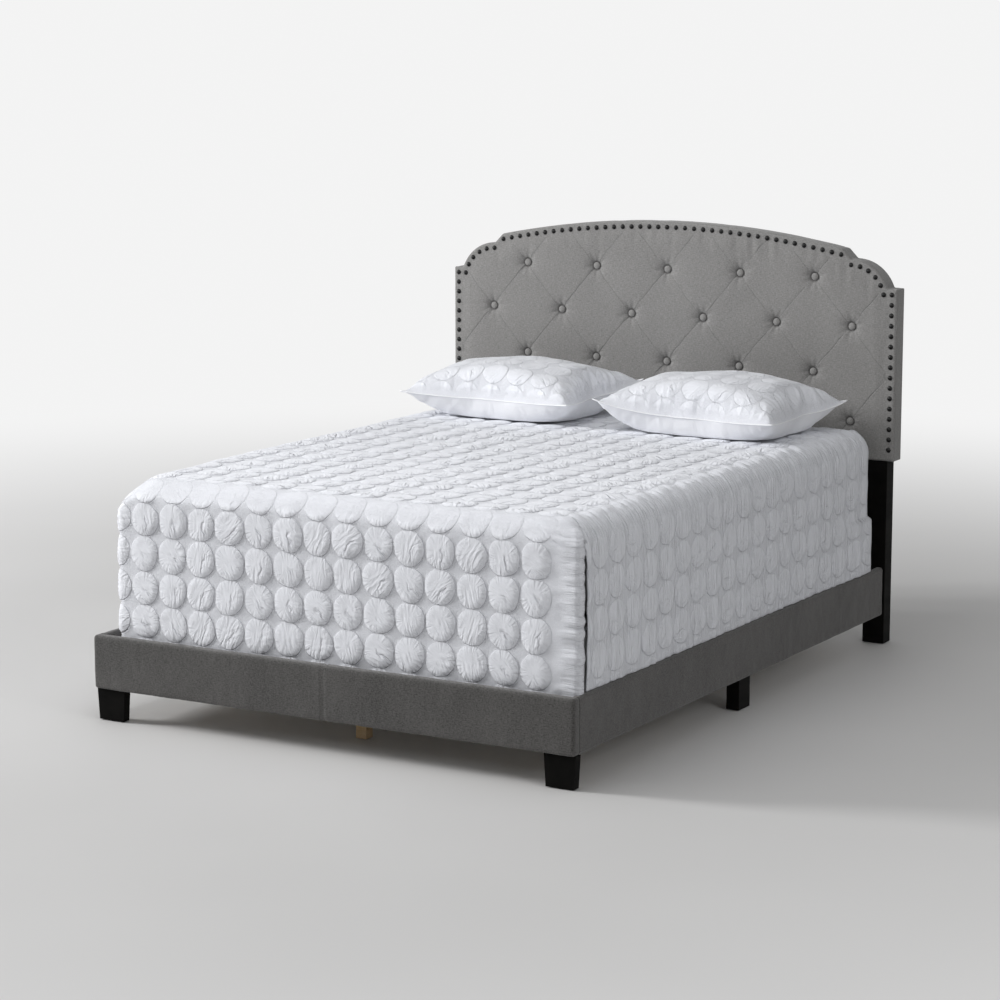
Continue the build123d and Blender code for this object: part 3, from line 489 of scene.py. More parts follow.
def headboard_outline():
    """The arched and notched outline as X and Z, with softened corners."""
    ear_x, ear_z, ear = 0.678, 1.141, 0.139
    arch_half, rise, shoulder = 0.647, 0.066, 1.188
    low = math.asin((shoulder - ear_z) / ear)
    radius = (arch_half**2 + rise**2) / (2 * rise)
    sweep = math.asin(arch_half / radius)
    middle_z = board_top - radius
    right = [(0, board_bottom), (half_width, board_bottom), (half_width, shoulder)]
    for a in np.linspace(low, math.pi / 2, 60):
        right.append((ear_x + ear * math.cos(a), ear_z + ear * math.sin(a)))
    for a in np.linspace(sweep, 0, 200):
        right.append((radius * math.sin(a), middle_z + radius * math.cos(a)))
    points = np.array(right + [(-x, z) for x, z in reversed(right[1:-1])])
    line = evenly_spaced(points, 0.002)
    spread = 2
    return sum(np.roll(line, k, axis=0) for k in range(-spread, spread + 1)) / (2 * spread + 1)


def under_arch(grid, line):
    """The points of a grid that lie under the upper half of an outline."""
    arch = np.array(sorted((x, z) for x, z in line if z > (board_bottom + board_top) / 2)).T
    return grid[grid[:, 1] < np.interp(grid[:, 0], *arch)]


def button_places():
    """Where the buttons stand, as X and Z: rows of five and six by turns, from the top."""
    return np.array([((column - (count - 1) / 2) * button_pitch, top_buttons - row * button_rows)
                     for row, count in enumerate((5, 6, 5, 6)) for column in range(count)])


def tufting(x, z, edge):
    """How far the tufted cloth stands behind the plane of its nails."""
    across = x / button_pitch
    up = (z - top_buttons) / (2 * button_rows)
    scale = 1 / math.hypot(1 / button_pitch, 1 / (2 * button_rows))
    field = smooth(edge, 0.024, 0.05)
    flat = points_at(x, z, 0)
    depth = np.zeros_like(x)
    for line, most in ((across + up, 0.3), (across - up, 0.42)):
        gap = np.abs(line - np.round(line)) * scale
        share = most * (0.75 + 0.5 * soft_noise(flat, 0.12, 3))
        fold = most * 0.001 * np.exp(-((gap / 0.02) ** 2)) + 0.0022 * share * np.exp(-gap / 0.004)
        depth = np.maximum(depth, fold)
    second = np.abs(z - (top_buttons - button_rows))
    depth += 0.0016 * smooth(np.abs(x), 0.69, 0.71) * np.exp(-second / 0.006)
    offset = flat[:, None, :2] - button_places()[None]
    gaps = np.linalg.norm(offset, axis=2)
    nearest = gaps.argmin(axis=1)
    gap = gaps.min(axis=1)
    away = offset[np.arange(len(x)), nearest]
    angle = np.arctan2(away[:, 1], away[:, 0])
    dimple = 0.0165 * np.exp(-np.maximum(gap - 0.0125, 0) / 0.0145)
    pleats = 0.0015 * np.cos(angle * 9 + nearest) * np.exp(-((gap - 0.03) / 0.018) ** 2)
    depth = np.maximum(depth, dimple) + pleats * smooth(gap, 0.012, 0.02)
    pulled = 0.0011 + 0.0016 * smooth(x, -0.2, 0.35) * smooth(z, 1.0, 1.2)
    band = np.exp(-((edge - 0.055) / 0.035) ** 2)
    ripple = pulled * soft_noise(points_at(x, z * 0.15, 0), 0.02, 5) * band
    swell = 0.0045 * smooth(edge, 0.022, 0.075)
    wave = 0.0009 * soft_noise(flat, 0.09, 7)
    return depth * field - swell + ripple + wave * field


def clear_ring(line, out, edge_of, inset):
    """A closed line moved in by an inset, and which of its points have not crossed over at a corner."""
    ring = line - out * inset
    return ring, edge_of(ring) > inset - 0.0006


def make_headboard_cloth(line, out):
    """The tufted cloth with its rounded rim, its sides and the hem turned in behind."""
    edge_of = edge_finder(line)
    inner = []
    for inset in (0.0008, 0.0022, 0.004, 0.0065, 0.0095, 0.014, 0.02):
        every = 1 if inset < 0.007 else 3
        ring, clear = clear_ring(line[::every], out[::every], edge_of, inset)
        inner.append(ring[clear])
    step = 0.0062
    xs = np.arange(-half_width, half_width, step)
    zs = np.arange(board_bottom, board_top, step)
    grid = points_at(*np.meshgrid(xs, zs)).reshape(-1, 2)
    jitter = np.random.default_rng(11).random(grid.shape) - 0.5
    grid = under_arch(grid + jitter * step * 0.3, line)
    places = button_places()
    spacing = np.linalg.norm(grid[:, None] - places[None], axis=2).min(axis=1)
    grid = grid[(edge_of(grid) > 0.024) & (spacing > 0.033)]
    turns = np.linspace(0, 2 * math.pi, 37)[:-1]
    circle = points_at(np.cos(turns), np.sin(turns))
    radii = (0.006, 0.0115, 0.0135, 0.016, 0.019, 0.023, 0.028)
    rings = [(places[:, None] + circle * r).reshape(-1, 2) for r in radii]
    count = len(line)
    points, faces = filled(line, *inner, grid, *rings)
    edge = edge_of(points)
    edge[:count] = 0
    radius = 0.009
    rim = np.where(edge < radius, radius - np.sqrt(np.maximum(radius**2 - (radius - edge) ** 2, 0)), 0)
    x, z = points.T
    verts = [points_at(x, board_front + rim + tufting(x, z, edge), z)]
    across, up = x / button_pitch, (z - top_buttons) / (2 * button_rows)
    cloth = [points_at(across + up, across - up, smooth(edge, 0.026, 0.05))]
    order = np.arange(count)
    wraps = [(0.0, t) for t in np.linspace(board_front + 0.014, board_back - 0.004, 8)]
    wraps += [(0.0012, board_back - 0.0012), (0.004, board_back), (0.018, board_back), (0.04, board_back)]
    for inset, depth in wraps:
        if inset == 0:
            dent = 0.0012 * soft_noise(points_at(*line.T, depth), 0.05, 13)
            ring = line - out * np.maximum(dent, 0)[:, None]
        else:
            ring, clear = clear_ring(line, out, edge_of, inset)
            ring = points_at(*(np.interp(order, order[clear], way, period=count) for way in ring[clear].T))
        verts.append(points_at(ring[:, 0], depth, ring[:, 1]))
        cloth.append(np.zeros((count, 3)))
    numbers = np.r_[order, len(points) + np.arange(len(wraps) * count)]
    faces += list(numbers[grid_faces(len(wraps) + 1, count, close=True)][:, other_side])
    piece = make_piece("headboard_cloth", "frame", "grey_linen", np.vstack(verts), faces,
                       tufted_linen, np.vstack(cloth))
    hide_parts("headboard_cover", "headboard_foam")


def make_lining(line, out):
    """The thin lining that closes the back, a little slack between its edges."""
    ring, clear = clear_ring(line, out, edge_finder(line), 0.02)
    ring = ring[clear][::2]
    edge_of = edge_finder(ring)
    step = 0.02
    xs = np.arange(-half_width, half_width, step)
    zs = np.arange(board_bottom + 0.03, 1.35, step)
    grid = under_arch(points_at(*np.meshgrid(xs, zs)).reshape(-1, 2), ring)
    grid = grid[np.abs(grid[:, 0]) < half_width - 0.03]
    points, faces = filled(ring, grid[edge_of(grid) > 0.009])
    dips = soft_noise(points_at(*points.T, 0), 0.16, 17)
    slack = 0.0006 + 0.0004 * smooth(edge_of(points), 0.0, 0.1) * (1 + dips)
    verts = points_at(points[:, 0], board_back + slack, points[:, 1])
    sheet = make_piece("headboard_back_lining", "frame", "black_lining", verts,
                       [f[::-1] for f in faces], lining)
    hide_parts("headboard_lining")


def make_buttons():
    """Covered buttons with the cloth gathered under their rims."""
    turns, rings = 40, 12
    rim, dome = 0.0124, 0.7
    places = button_places()
    number, ring, turn = np.ogrid[:len(places), :rings, :turns]
    t = ring / (rings - 1)
    rise = np.minimum(t / dome, 1) * math.pi / 2
    under = np.maximum(t - dome, 0) / (1 - dome)
    back = 0.0024 + 0.0062 * (1 - np.cos(rise)) ** 0.95 + 0.0044 * under
    a = 2 * math.pi * turn / turns
    r = (rim * np.sin(rise) ** 0.8 - 0.0035 * under) * (1 + 0.02 * np.cos(a * 10 + number) * (ring / rings))
    x, z = (way[:, None, None] for way in places.T)
    points = points_at(x + r * np.cos(a), board_front + back, z + r * np.sin(a)).reshape(-1, 3)
    faces = [grid_faces(rings, turns, n * rings * turns, close=True)[:, ::-1] for n in range(len(places))]
    buttons = make_piece("covered_buttons", "frame", "grey_linen", points, np.vstack(faces), grey_linen)
    weld(buttons, 1e-5)
    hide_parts("tuft_buttons")


outline = headboard_outline()
outline_out = directions(outline)[:, ::-1] * (1, -1)
make_headboard_cloth(outline, outline_out)
make_lining(outline, outline_out)
make_buttons()


# Padded blocks: rails, box spring, mattress


def spaced(low, high, radius, step):
    """Places along one side of a rounded block, close together in its corners."""
    corner = radius * (1 - np.cos(np.linspace(0, math.pi / 2, 7)))
    steps = max(2, int((high - low - 2 * radius) / step))
    middle = np.linspace(low + radius, high - radius, steps + 1)[1:-1]
    return np.r_[low + corner, middle, high - corner[::-1]]


def round_corner(points, low, top, wide, deep):
    """Draws the top of the foot corner on the left in to a rounder shape than the edges have."""
    sign = np.array((1, 1, -1))
    start = np.array((low[0], low[1], top))
    reach = (points - start) * sign
    width = 0.001 + wide * smooth(1.35 * deep - reach[:, 2], 0.0, 1.15 * deep)
    radii = points_at(width, width, deep)
    inward = np.maximum(1 - reach / radii, 0)
    length = np.linalg.norm(inward, axis=1, keepdims=True)
    keep = np.where(length > 1, 1 / np.maximum(length, 1e-9), 1)
    share = smooth(0.5 - np.linalg.norm(np.maximum(reach[:, :2], 0), axis=1), 0.0, 0.25)[:, None]
    moved = np.where(inward > 0, radii * (1 - inward * keep), reach)
    return start + (reach + (moved - reach) * share) * sign


def rounded_block(low, high, radii, step):
    """A block with rounded edges: its points and faces. radii are one per axis."""
    low, high, radii = (np.asarray(v, float) for v in (low, high, radii))
    points, faces, total = [], [], 0
    marks = [spaced(low[k], high[k], radii[k], step) for k in range(3)]
    for axis in range(3):
        a, b = (axis + 1) % 3, (axis + 2) % 3
        for side in (0, 1):
            face = [high[axis] if side else low[axis]] * 3
            face[a], face[b] = np.meshgrid(marks[a], marks[b], indexing="ij")
            points.append(points_at(*face).reshape(-1, 3))
            quads = grid_faces(len(marks[a]), len(marks[b]), total)
            faces.append(quads if side else quads[:, ::-1])
            total += len(points[-1])
    flat = np.vstack(points)
    inner = np.clip(flat, low + radii, high - radii)
    away = (flat - inner) / radii
    away /= np.linalg.norm(away, axis=1, keepdims=True)
    return inner + away * radii, np.vstack(faces), away


def make_rail(name, radii, seams=(), squared=0.0):
    """A padded rail in linen, with its stitched seams as dents across it, and its back edges squared."""
    low, high = (np.array(v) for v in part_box(f"{name}_cover"))
    points, faces, away = rounded_block(low, high + np.array((0.0, squared, 0.0)), radii, 0.008)
    ripple = 0.0009 * soft_noise(points, 0.055, 21) + 0.0006 * soft_noise(points * (1, 1, 0.4), 0.016, 22)
    for seam in seams:
        gap = np.abs(points[:, 0] - seam)
        ripple -= 0.0022 * np.exp(-gap / 0.0025) - 0.0008 * np.exp(-((gap - 0.008) / 0.004) ** 2)
    points = points + away * np.minimum(ripple - 0.0008, 0.0004)[:, None]
    points[:, 1] = np.minimum(points[:, 1], high[1])
    rail = make_piece(f"{name}_padding", "frame", "grey_linen", points, faces, rail_linen_painted_shade)
    weld(rail, 1e-6)
    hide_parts(f"{name}_cover", f"{name}_foam", f"{name}_board")


make_rail("foot_rail", (0.011, 0.011, 0.011), seams=(0.0,), squared=0.009)
make_rail("side_rail_left", (0.010, 0.002, 0.011))
make_rail("side_rail_right", (0.010, 0.002, 0.011))


def tape_edge(line, radius=0.0045):
    """A round tape along a closed line of points."""
    count, turns = len(line), 8
    up = np.array((0.0, 0.0, 1.0))
    side = np.cross(directions(line), up)
    angles = [2 * math.pi * k / turns for k in range(turns)]
    rings = np.stack([line + radius * (math.cos(a) * side + math.sin(a) * up) for a in angles], 1)
    return rings.reshape(-1, 3), grid_faces(count + 1, turns, close=True) % (count * turns)


def rounded_loop(low, high, radius, level):
    """A closed line round a rounded rectangle at one height."""
    points = []
    corners = ((high[0], low[1], -90), (high[0], high[1], 0), (low[0], high[1], 90), (low[0], low[1], 180))
    for x, y, start in corners:
        cx = x - math.copysign(radius, x - (low[0] + high[0]) / 2)
        cy = y - math.copysign(radius, y - (low[1] + high[1]) / 2)
        for a in np.radians(start + np.linspace(0, 90, 10)):
            points.append((cx + radius * math.cos(a), cy + radius * math.sin(a)))
    return points_at(*evenly_spaced(np.array(points), 0.02).T, level)


block_corner = 0.08
ticking_wave = 0.12
mattress_foot_corner = (0.115, 0.09)
quilt_foot_corner = (0.125, 0.1)


def bedding_block(body, edge, tapes, quilting):
    """The box spring or the mattress: a padded block with quilted faces and tape edges."""
    low, high = (np.array(v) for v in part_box(f"{body}_cover"))
    points, faces, away = rounded_block(low, high, (block_corner, block_corner, edge), 0.016)
    top = smooth(away[:, 2], 0.6, 0.95)
    across, along = (points[:, k] * 2 * math.pi / ticking_wave for k in (0, 1))
    waves = np.cos(across + 1.2 * np.sin(along / 2)) * np.cos(along)
    swell = top * quilting * waves + (1 - top) * 0.0015 * soft_noise(points, 0.12, 31)
    points = points + away * (swell - quilting)[:, None]
    if body == "mattress":
        points = round_corner(points, low, high[2], *mattress_foot_corner)
    block = make_piece(f"{body}_ticking", body, "white_ticking", points, faces, ticking)
    weld(block, 1e-6)
    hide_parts(f"{body}_cover", f"{body}_core")
    lines, quads, total = [], [], 0
    for inset, level in tapes:
        loop = rounded_loop(low[:2] + inset, high[:2] - inset, block_corner - inset, level)
        if body == "mattress":
            loop = round_corner(loop, low, high[2], *mattress_foot_corner)
        tape, tape_faces = tape_edge(loop)
        lines.append(tape)
        quads.append(tape_faces + total)
        total += len(tape)
    return make_piece(f"{body}_ticking_tape", body, "white_ticking", np.vstack(lines), np.vstack(quads),
                      white_cotton)


spring_low, spring_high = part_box("box_spring_cover")
bedding_block("box_spring", 0.012, [(0.0015, spring_low.z + 0.012), (0.0015, spring_high.z - 0.012)], 0.0)
piping_low, piping_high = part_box("mattress_piping")
mattress_tape = bedding_block("mattress", 0.07,
                              [(0.0185, piping_high.z - 0.0045), (0.0055, piping_low.z + 0.0045)], 0.003)
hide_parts("mattress_piping")


# Quilt

quilt_low, quilt_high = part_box("quilt")
corner = 0.09
edge_radius = 0.076
flat_run = corner - edge_radius
bend_run = edge_radius * math.pi / 2
slit_turn = math.radians(57.5)
slit_top = 0.65
slit_columns = 14
quilt_sink = 0.0088
cloth_step = 0.006
rail_hem_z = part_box("side_rail_right_cover")[1].z + 0.0012
inner_left, inner_right, inner_foot = quilt_low.x + corner, quilt_high.x - corner, quilt_low.y + corner
side_marks = np.linspace(inner_foot, quilt_high.y, int((quilt_high.y - inner_foot) / cloth_step))
foot_marks = np.linspace(inner_left, inner_right, int((inner_right - inner_left) / cloth_step))
on_left, on_foot, on_right, on_top = range(4)


def run_at(z):
    """The run at which the drop hangs at a height."""
    return quilt_high.z - edge_radius - z + flat_run + bend_run


def drop_profile(run):
    """How far in from the outer plan, and how high, the cloth is at a run below the top."""
    turn = np.clip((run - flat_run) / edge_radius, 0, math.pi / 2)
    inset = np.where(run < flat_run, corner - run, edge_radius * (1 - np.sin(turn)))
    z = quilt_high.z - edge_radius * (1 - np.cos(turn)) - np.maximum(run - flat_run - bend_run, 0)
    return inset, z


def circles(u, v, wanted, shift, height):
    """The puffed circles' rise at flat cloth places, each a little different."""
    cu = np.round((u - first_column) / circle_pitch)
    cv = np.round((v - first_row) / circle_row_pitch)
    du = u - first_column - cu * circle_pitch
    dv = v - first_row - cv * circle_row_pitch
    r = np.hypot(du * circle_squeeze, dv) / circle_radius
    own = np.abs(np.sin(cu * 12.9898 + cv * 78.233 + shift) * 43758.5453) % 1
    other = np.abs(np.sin(cu * 39.346 + cv * 11.135 + shift) * 24634.6345) % 1
    dome = np.where(r < 1, (1 - np.clip(r, 0, 1) ** 2.6) ** 0.55, 0)
    turn = 0.3 + other * 1.5
    along = du * np.cos(turn) + dv * np.sin(turn)
    across = dv * np.cos(turn) - du * np.sin(turn)
    low_side = 0.25 + 0.75 * smooth((du - dv) / circle_radius, -0.9, 1.0)
    wave = along * 2 * math.pi / (0.017 + 0.012 * own) + 9 * across * (own - 0.5) / circle_radius
    folds = (0.5 - np.abs(np.sin(wave + other * 6))) * np.clip(1.02 - r, 0, 1) ** 0.25
    folds = np.where(r < 1, folds * low_side, 0)
    lean = 1 + 0.42 * (du - dv) / (1.414 * circle_radius)
    return wanted * height * ((0.7 + 0.4 * own) * dome * lean + 0.45 * folds)


def quilt_skirt(runs):
    """The drop round the foot and both sides: columns of points with their cloth places, and their sides."""
    inset, z = drop_profile(runs)
    reach = corner - inset
    square = 0.78 * smooth(runs, 0.05, 0.13)
    quarter = math.pi / 2
    columns, sides = [], []

    def add(x, y, u, v, side):
        columns.append(points_at(x, y, z, u, v))
        sides.append(side)

    def bend(turn):
        """Where a corner point stands from the middle of its arc, side and foot ways."""
        side, end = math.cos(turn), math.sin(turn)
        out = 1 + square * (1 / max(side, end) - 1)
        return reach * side * out, reach * end * out

    for y in side_marks[::-1]:
        add(inner_left - reach, y, inner_left - runs, y, on_left)
    for turn in np.linspace(0, quarter, 19)[1:-1]:
        side, end = bend(turn)
        if turn < math.pi / 4:
            place = inner_left - runs, inner_foot - reach * turn, on_left
        else:
            place = inner_left - reach * (quarter - turn), inner_foot - runs, on_foot
        add(inner_left - side, inner_foot - end, *place)
    for x in foot_marks:
        add(x, inner_foot - reach, x, inner_foot - runs, on_foot)
    for turn in np.linspace(0, slit_turn, 15)[1:]:
        end, side = bend(turn)
        add(inner_right + side, inner_foot - end, inner_right + reach * turn, inner_foot - runs, on_foot)
    for turn in np.linspace(slit_turn, quarter, 7)[:-1]:
        end, side = bend(turn)
        add(inner_right + side, inner_foot - end,
            inner_right + runs, inner_foot - reach * (quarter - turn), on_right)
    for y in side_marks:
        add(inner_right + reach, y, inner_right + runs, y, on_right)
    return np.stack(columns), np.array(sides)


def shape_quilt(points, normals, u, v, run, side, below):
    """Puffs, gathers and slow waves of the cloth, moved along its normals, and the marks of its circles."""
    wanted = np.where((side == on_foot) & (u > 0.723), 0.0, 1.0)
    wanted = wanted * smooth(quilt_high.y - points[..., 1], 0.01, 0.022) * smooth(below, 0.008, 0.018)
    right_side = smooth(u, 0.79, 0.83) * (side == on_right)
    right_edge = smooth(u, 0.68, 0.73) * smooth(u, 0.86, 0.80)
    wanted = wanted * (1 - 0.3 * right_side) * (1 - 0.7 * right_edge)
    wanted = wanted * (1 - 0.75 * smooth(run, 0.0, 0.03) * smooth(run, 0.125, 0.095))
    marked_u, marked_v = (way + 0.0042 * soft_noise(points_at(u, v, 0), 0.055, seed)
                          for way, seed in ((u, 38), (v, 39)))
    rise = circles(marked_u, marked_v, wanted, 0.0, 0.0058) * np.where(side == on_foot, 1.45, 1.0)
    drop = smooth(run, 0.12, 0.5)
    hang = smooth(run, 0.1, 0.17) * (side == on_right)
    from_edge = (points[..., 0] - quilt_high.x + 0.075) / 0.05
    gather = np.exp(-(from_edge ** 2)) * smooth(points[..., 2], 0.60, 0.70)
    near_slit = (side == on_foot) * smooth(u, 0.71, 0.79) * smooth(run, 0.12, 0.2)
    waves = (
        (0.0016 * hang, v, u * 0.12, 0.012, 47),
        (0.0012, u, v, 0.033, 41),
        (0.0022 * smooth(run, -0.2, 0.1), u, v, 0.17, 42),
        (0.0056 * gather, v + 0.35 * u, u * 0.2, 0.0125, 43),
        (0.0032 * drop * (side == on_right), v, u * 0.1, 0.02, 44),
        (0.0065 * near_slit, u * 0.3, v, 0.017, 45),
        (0.004 * drop, u + v, 0, 0.3, 46),
    )
    for most, across, along, size, seed in waves:
        rise = rise + most * soft_noise(points_at(across, along, 0), size, seed)
    return points + normals * (rise - quilt_sink)[..., None], points_at(marked_u, marked_v, wanted)


def make_quilt():
    """The coverlet: top, foot drop and side drops in one cloth, slit at the foot corner."""
    length, rail_hem = run_at(quilt_low.z), run_at(rail_hem_z)
    runs = np.linspace(0, length, int(length / cloth_step))
    columns, sides = quilt_skirt(runs)
    grid, u, v = columns[..., :3], columns[..., 3], columns[..., 4]
    count, rows = u.shape
    turn = np.clip((runs - flat_run) / edge_radius, 0, math.pi / 2)
    away = grid[:, -1, :2] - grid[:, 0, :2]
    away = away / np.linalg.norm(away, axis=1, keepdims=True)
    normals = points_at(*(away.T[..., None] * np.sin(turn)), np.cos(turn))
    hem = np.where(sides == on_right, rail_hem, length)[:, None]
    grid, marks = shape_quilt(grid, normals, u, v, runs, sides[:, None], hem - runs)

    # The slit opens a little, and the right drop ends on the rail and clears the headboard.
    split = int(np.where(sides == on_foot)[0][-1])
    opened = smooth(grid[split, :, 2], 0.665, 0.61)
    for k in range(slit_columns):
        fade = opened * (1 - k / slit_columns) ** 2
        grid[split - k, :, 0] -= 0.002 * fade
        grid[split - k, :, 1] -= 0.005 * fade
        grid[split + 1 + k, :, 1] += 0.011 * fade
    drop = grid[sides == on_right]
    late = smooth(drop[..., 1], quilt_high.y - 0.25, quilt_high.y)
    drop[..., 1] += late * 0.04 * smooth(drop[..., 2], 0.46, 0.435)
    drop[..., 2] = np.maximum(drop[..., 2], rail_hem_z)
    grid[sides == on_right] = drop
    keep = runs < hem + cloth_step
    keep = keep[:-1, 1:] & keep[1:, 1:]
    keep[split] = runs[1:] < run_at(slit_top)
    skirt_faces = grid_faces(count, rows)[:, other_side][keep.ravel()]

    top = points_at(*np.meshgrid(foot_marks, side_marks, indexing="ij"), quilt_high.z)
    x, y = top[..., 0], top[..., 1]
    run = -np.minimum(np.minimum(x - inner_left, inner_right - x), y - inner_foot)
    top, top_marks = shape_quilt(top, np.array((0.0, 0.0, 1.0)), x, y, run, on_top, 9.0)
    top_faces = grid_faces(len(foot_marks), len(side_marks), count * rows)
    both = ((grid, top), (marks, top_marks))
    points, cloth = (np.vstack([a.reshape(-1, 3), b.reshape(-1, 3)]) for a, b in both)
    points = round_corner(points, quilt_low, quilt_high.z - 0.002, *quilt_foot_corner)
    faces = np.vstack([skirt_faces, top_faces])
    used, numbers = np.unique(faces, return_inverse=True)
    quilt = make_piece("coverlet", "quilt", "white_quilting", points[used], numbers.reshape(faces.shape),
                       white_quilting, cloth[used])
    weld(quilt, 2e-4)
    thick = quilt.modifiers.new("thickness", "SOLIDIFY")
    thick.thickness = 0.005
    thick.offset = -1
    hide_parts("quilt")


make_quilt()


# Pillows

case_width, case_depth = 0.71, 0.575
pressure_frames = 26


def blown_up_case():
    """A pillow case blown up by a cloth simulation: fine grids of its rest, top and bottom points."""
    count_u, count_v = 77, 61
    u, v = np.meshgrid(np.linspace(-1, 1, count_u), np.linspace(-1, 1, count_v), indexing="ij")
    rest = points_at(u * case_width / 2, v * case_depth / 2, 0)
    lift = points_at(0, 0, 0.03 * (1 - u**4) * (1 - v**4))
    inside = (np.abs(u) < 1) & (np.abs(v) < 1)
    top_index = np.arange(u.size).reshape(u.shape)
    low_index = top_index.copy()
    low_index[inside] = u.size + np.arange(inside.sum())
    points = np.vstack([(rest + lift).reshape(-1, 3), (rest - lift)[inside]])
    quads = grid_faces(count_u, count_v)
    faces = np.vstack([quads[:, ::-1], low_index.ravel()[quads]])
    case = make_object("case", points, faces, white_cotton)
    cloth = case.modifiers.new("cloth", "CLOTH")
    settings = {"quality": 7, "mass": 0.3, "tension_stiffness": 15, "compression_stiffness": 5,
                "shear_stiffness": 10, "bending_stiffness": 2, "air_damping": 4,
                "use_pressure": True, "uniform_pressure_force": 3}
    for setting, value in settings.items():
        setattr(cloth.settings, setting, value)
    cloth.settings.effector_weights.gravity = 0
    cloth.collision_settings.use_collision = False
    scene = bpy.context.scene
    for moment in range(1, pressure_frames + 1):
        scene.frame_set(moment)
    shaped = case.evaluated_get(bpy.context.evaluated_depsgraph_get())
    blown = np.array([vertex.co for vertex in shaped.data.vertices])
    bpy.data.objects.remove(case, do_unlink=True)
    scene.frame_set(1)
    return [refine(grid) for grid in (rest, calmed(blown[top_index], 9), calmed(blown[low_index], 12))]


def refine(grid):
    """A grid of points made twice as fine along smooth curves."""
    for axis in (0, 1):
        moved = np.moveaxis(grid, axis, 0)
        count = len(moved)
        place = np.arange(2 * count - 1) / 2
        cell = np.minimum(place.astype(int), count - 2)
        t = (place - cell).reshape(-1, *[1] * (moved.ndim - 1))
        p0, p1, p2, p3 = (moved[np.clip(cell + k, 0, count - 1)] for k in (-1, 0, 1, 2))
        fine = p1 + 0.5 * t * (p2 - p0 + t * (2 * p0 - 5 * p1 + 4 * p2 - p3 + t * (3 * (p1 - p2) + p3 - p0)))
        grid = np.moveaxis(fine, 0, axis)
    return grid


def corner_shares(u, v):
    """How much each corner counts at each place: front left, front right, back right, back left."""
    a, b = np.clip((u + 1) / 2, 0, 1), np.clip((v + 1) / 2, 0, 1)
    return points_at((1 - a) * (1 - b), a * (1 - b), a * b, (1 - a) * b)


def calmed(grid, times):
    """The grid with its small folds evened out and its rim kept."""
    grid = grid.copy()
    for rim in (grid[0], grid[-1], grid[:, 0], grid[:, -1]):
        for _ in range(40):
            rim[1:-1] += 0.5 * ((rim[:-2] + rim[2:]) / 2 - rim[1:-1])
    for _ in range(times):
        near = (grid[:-2, 1:-1] + grid[2:, 1:-1] + grid[1:-1, :-2] + grid[1:-1, 2:]) / 4
        grid[1:-1, 1:-1] += 0.8 * (near - grid[1:-1, 1:-1])
    return grid


case_rest, case_top, case_low = blown_up_case()


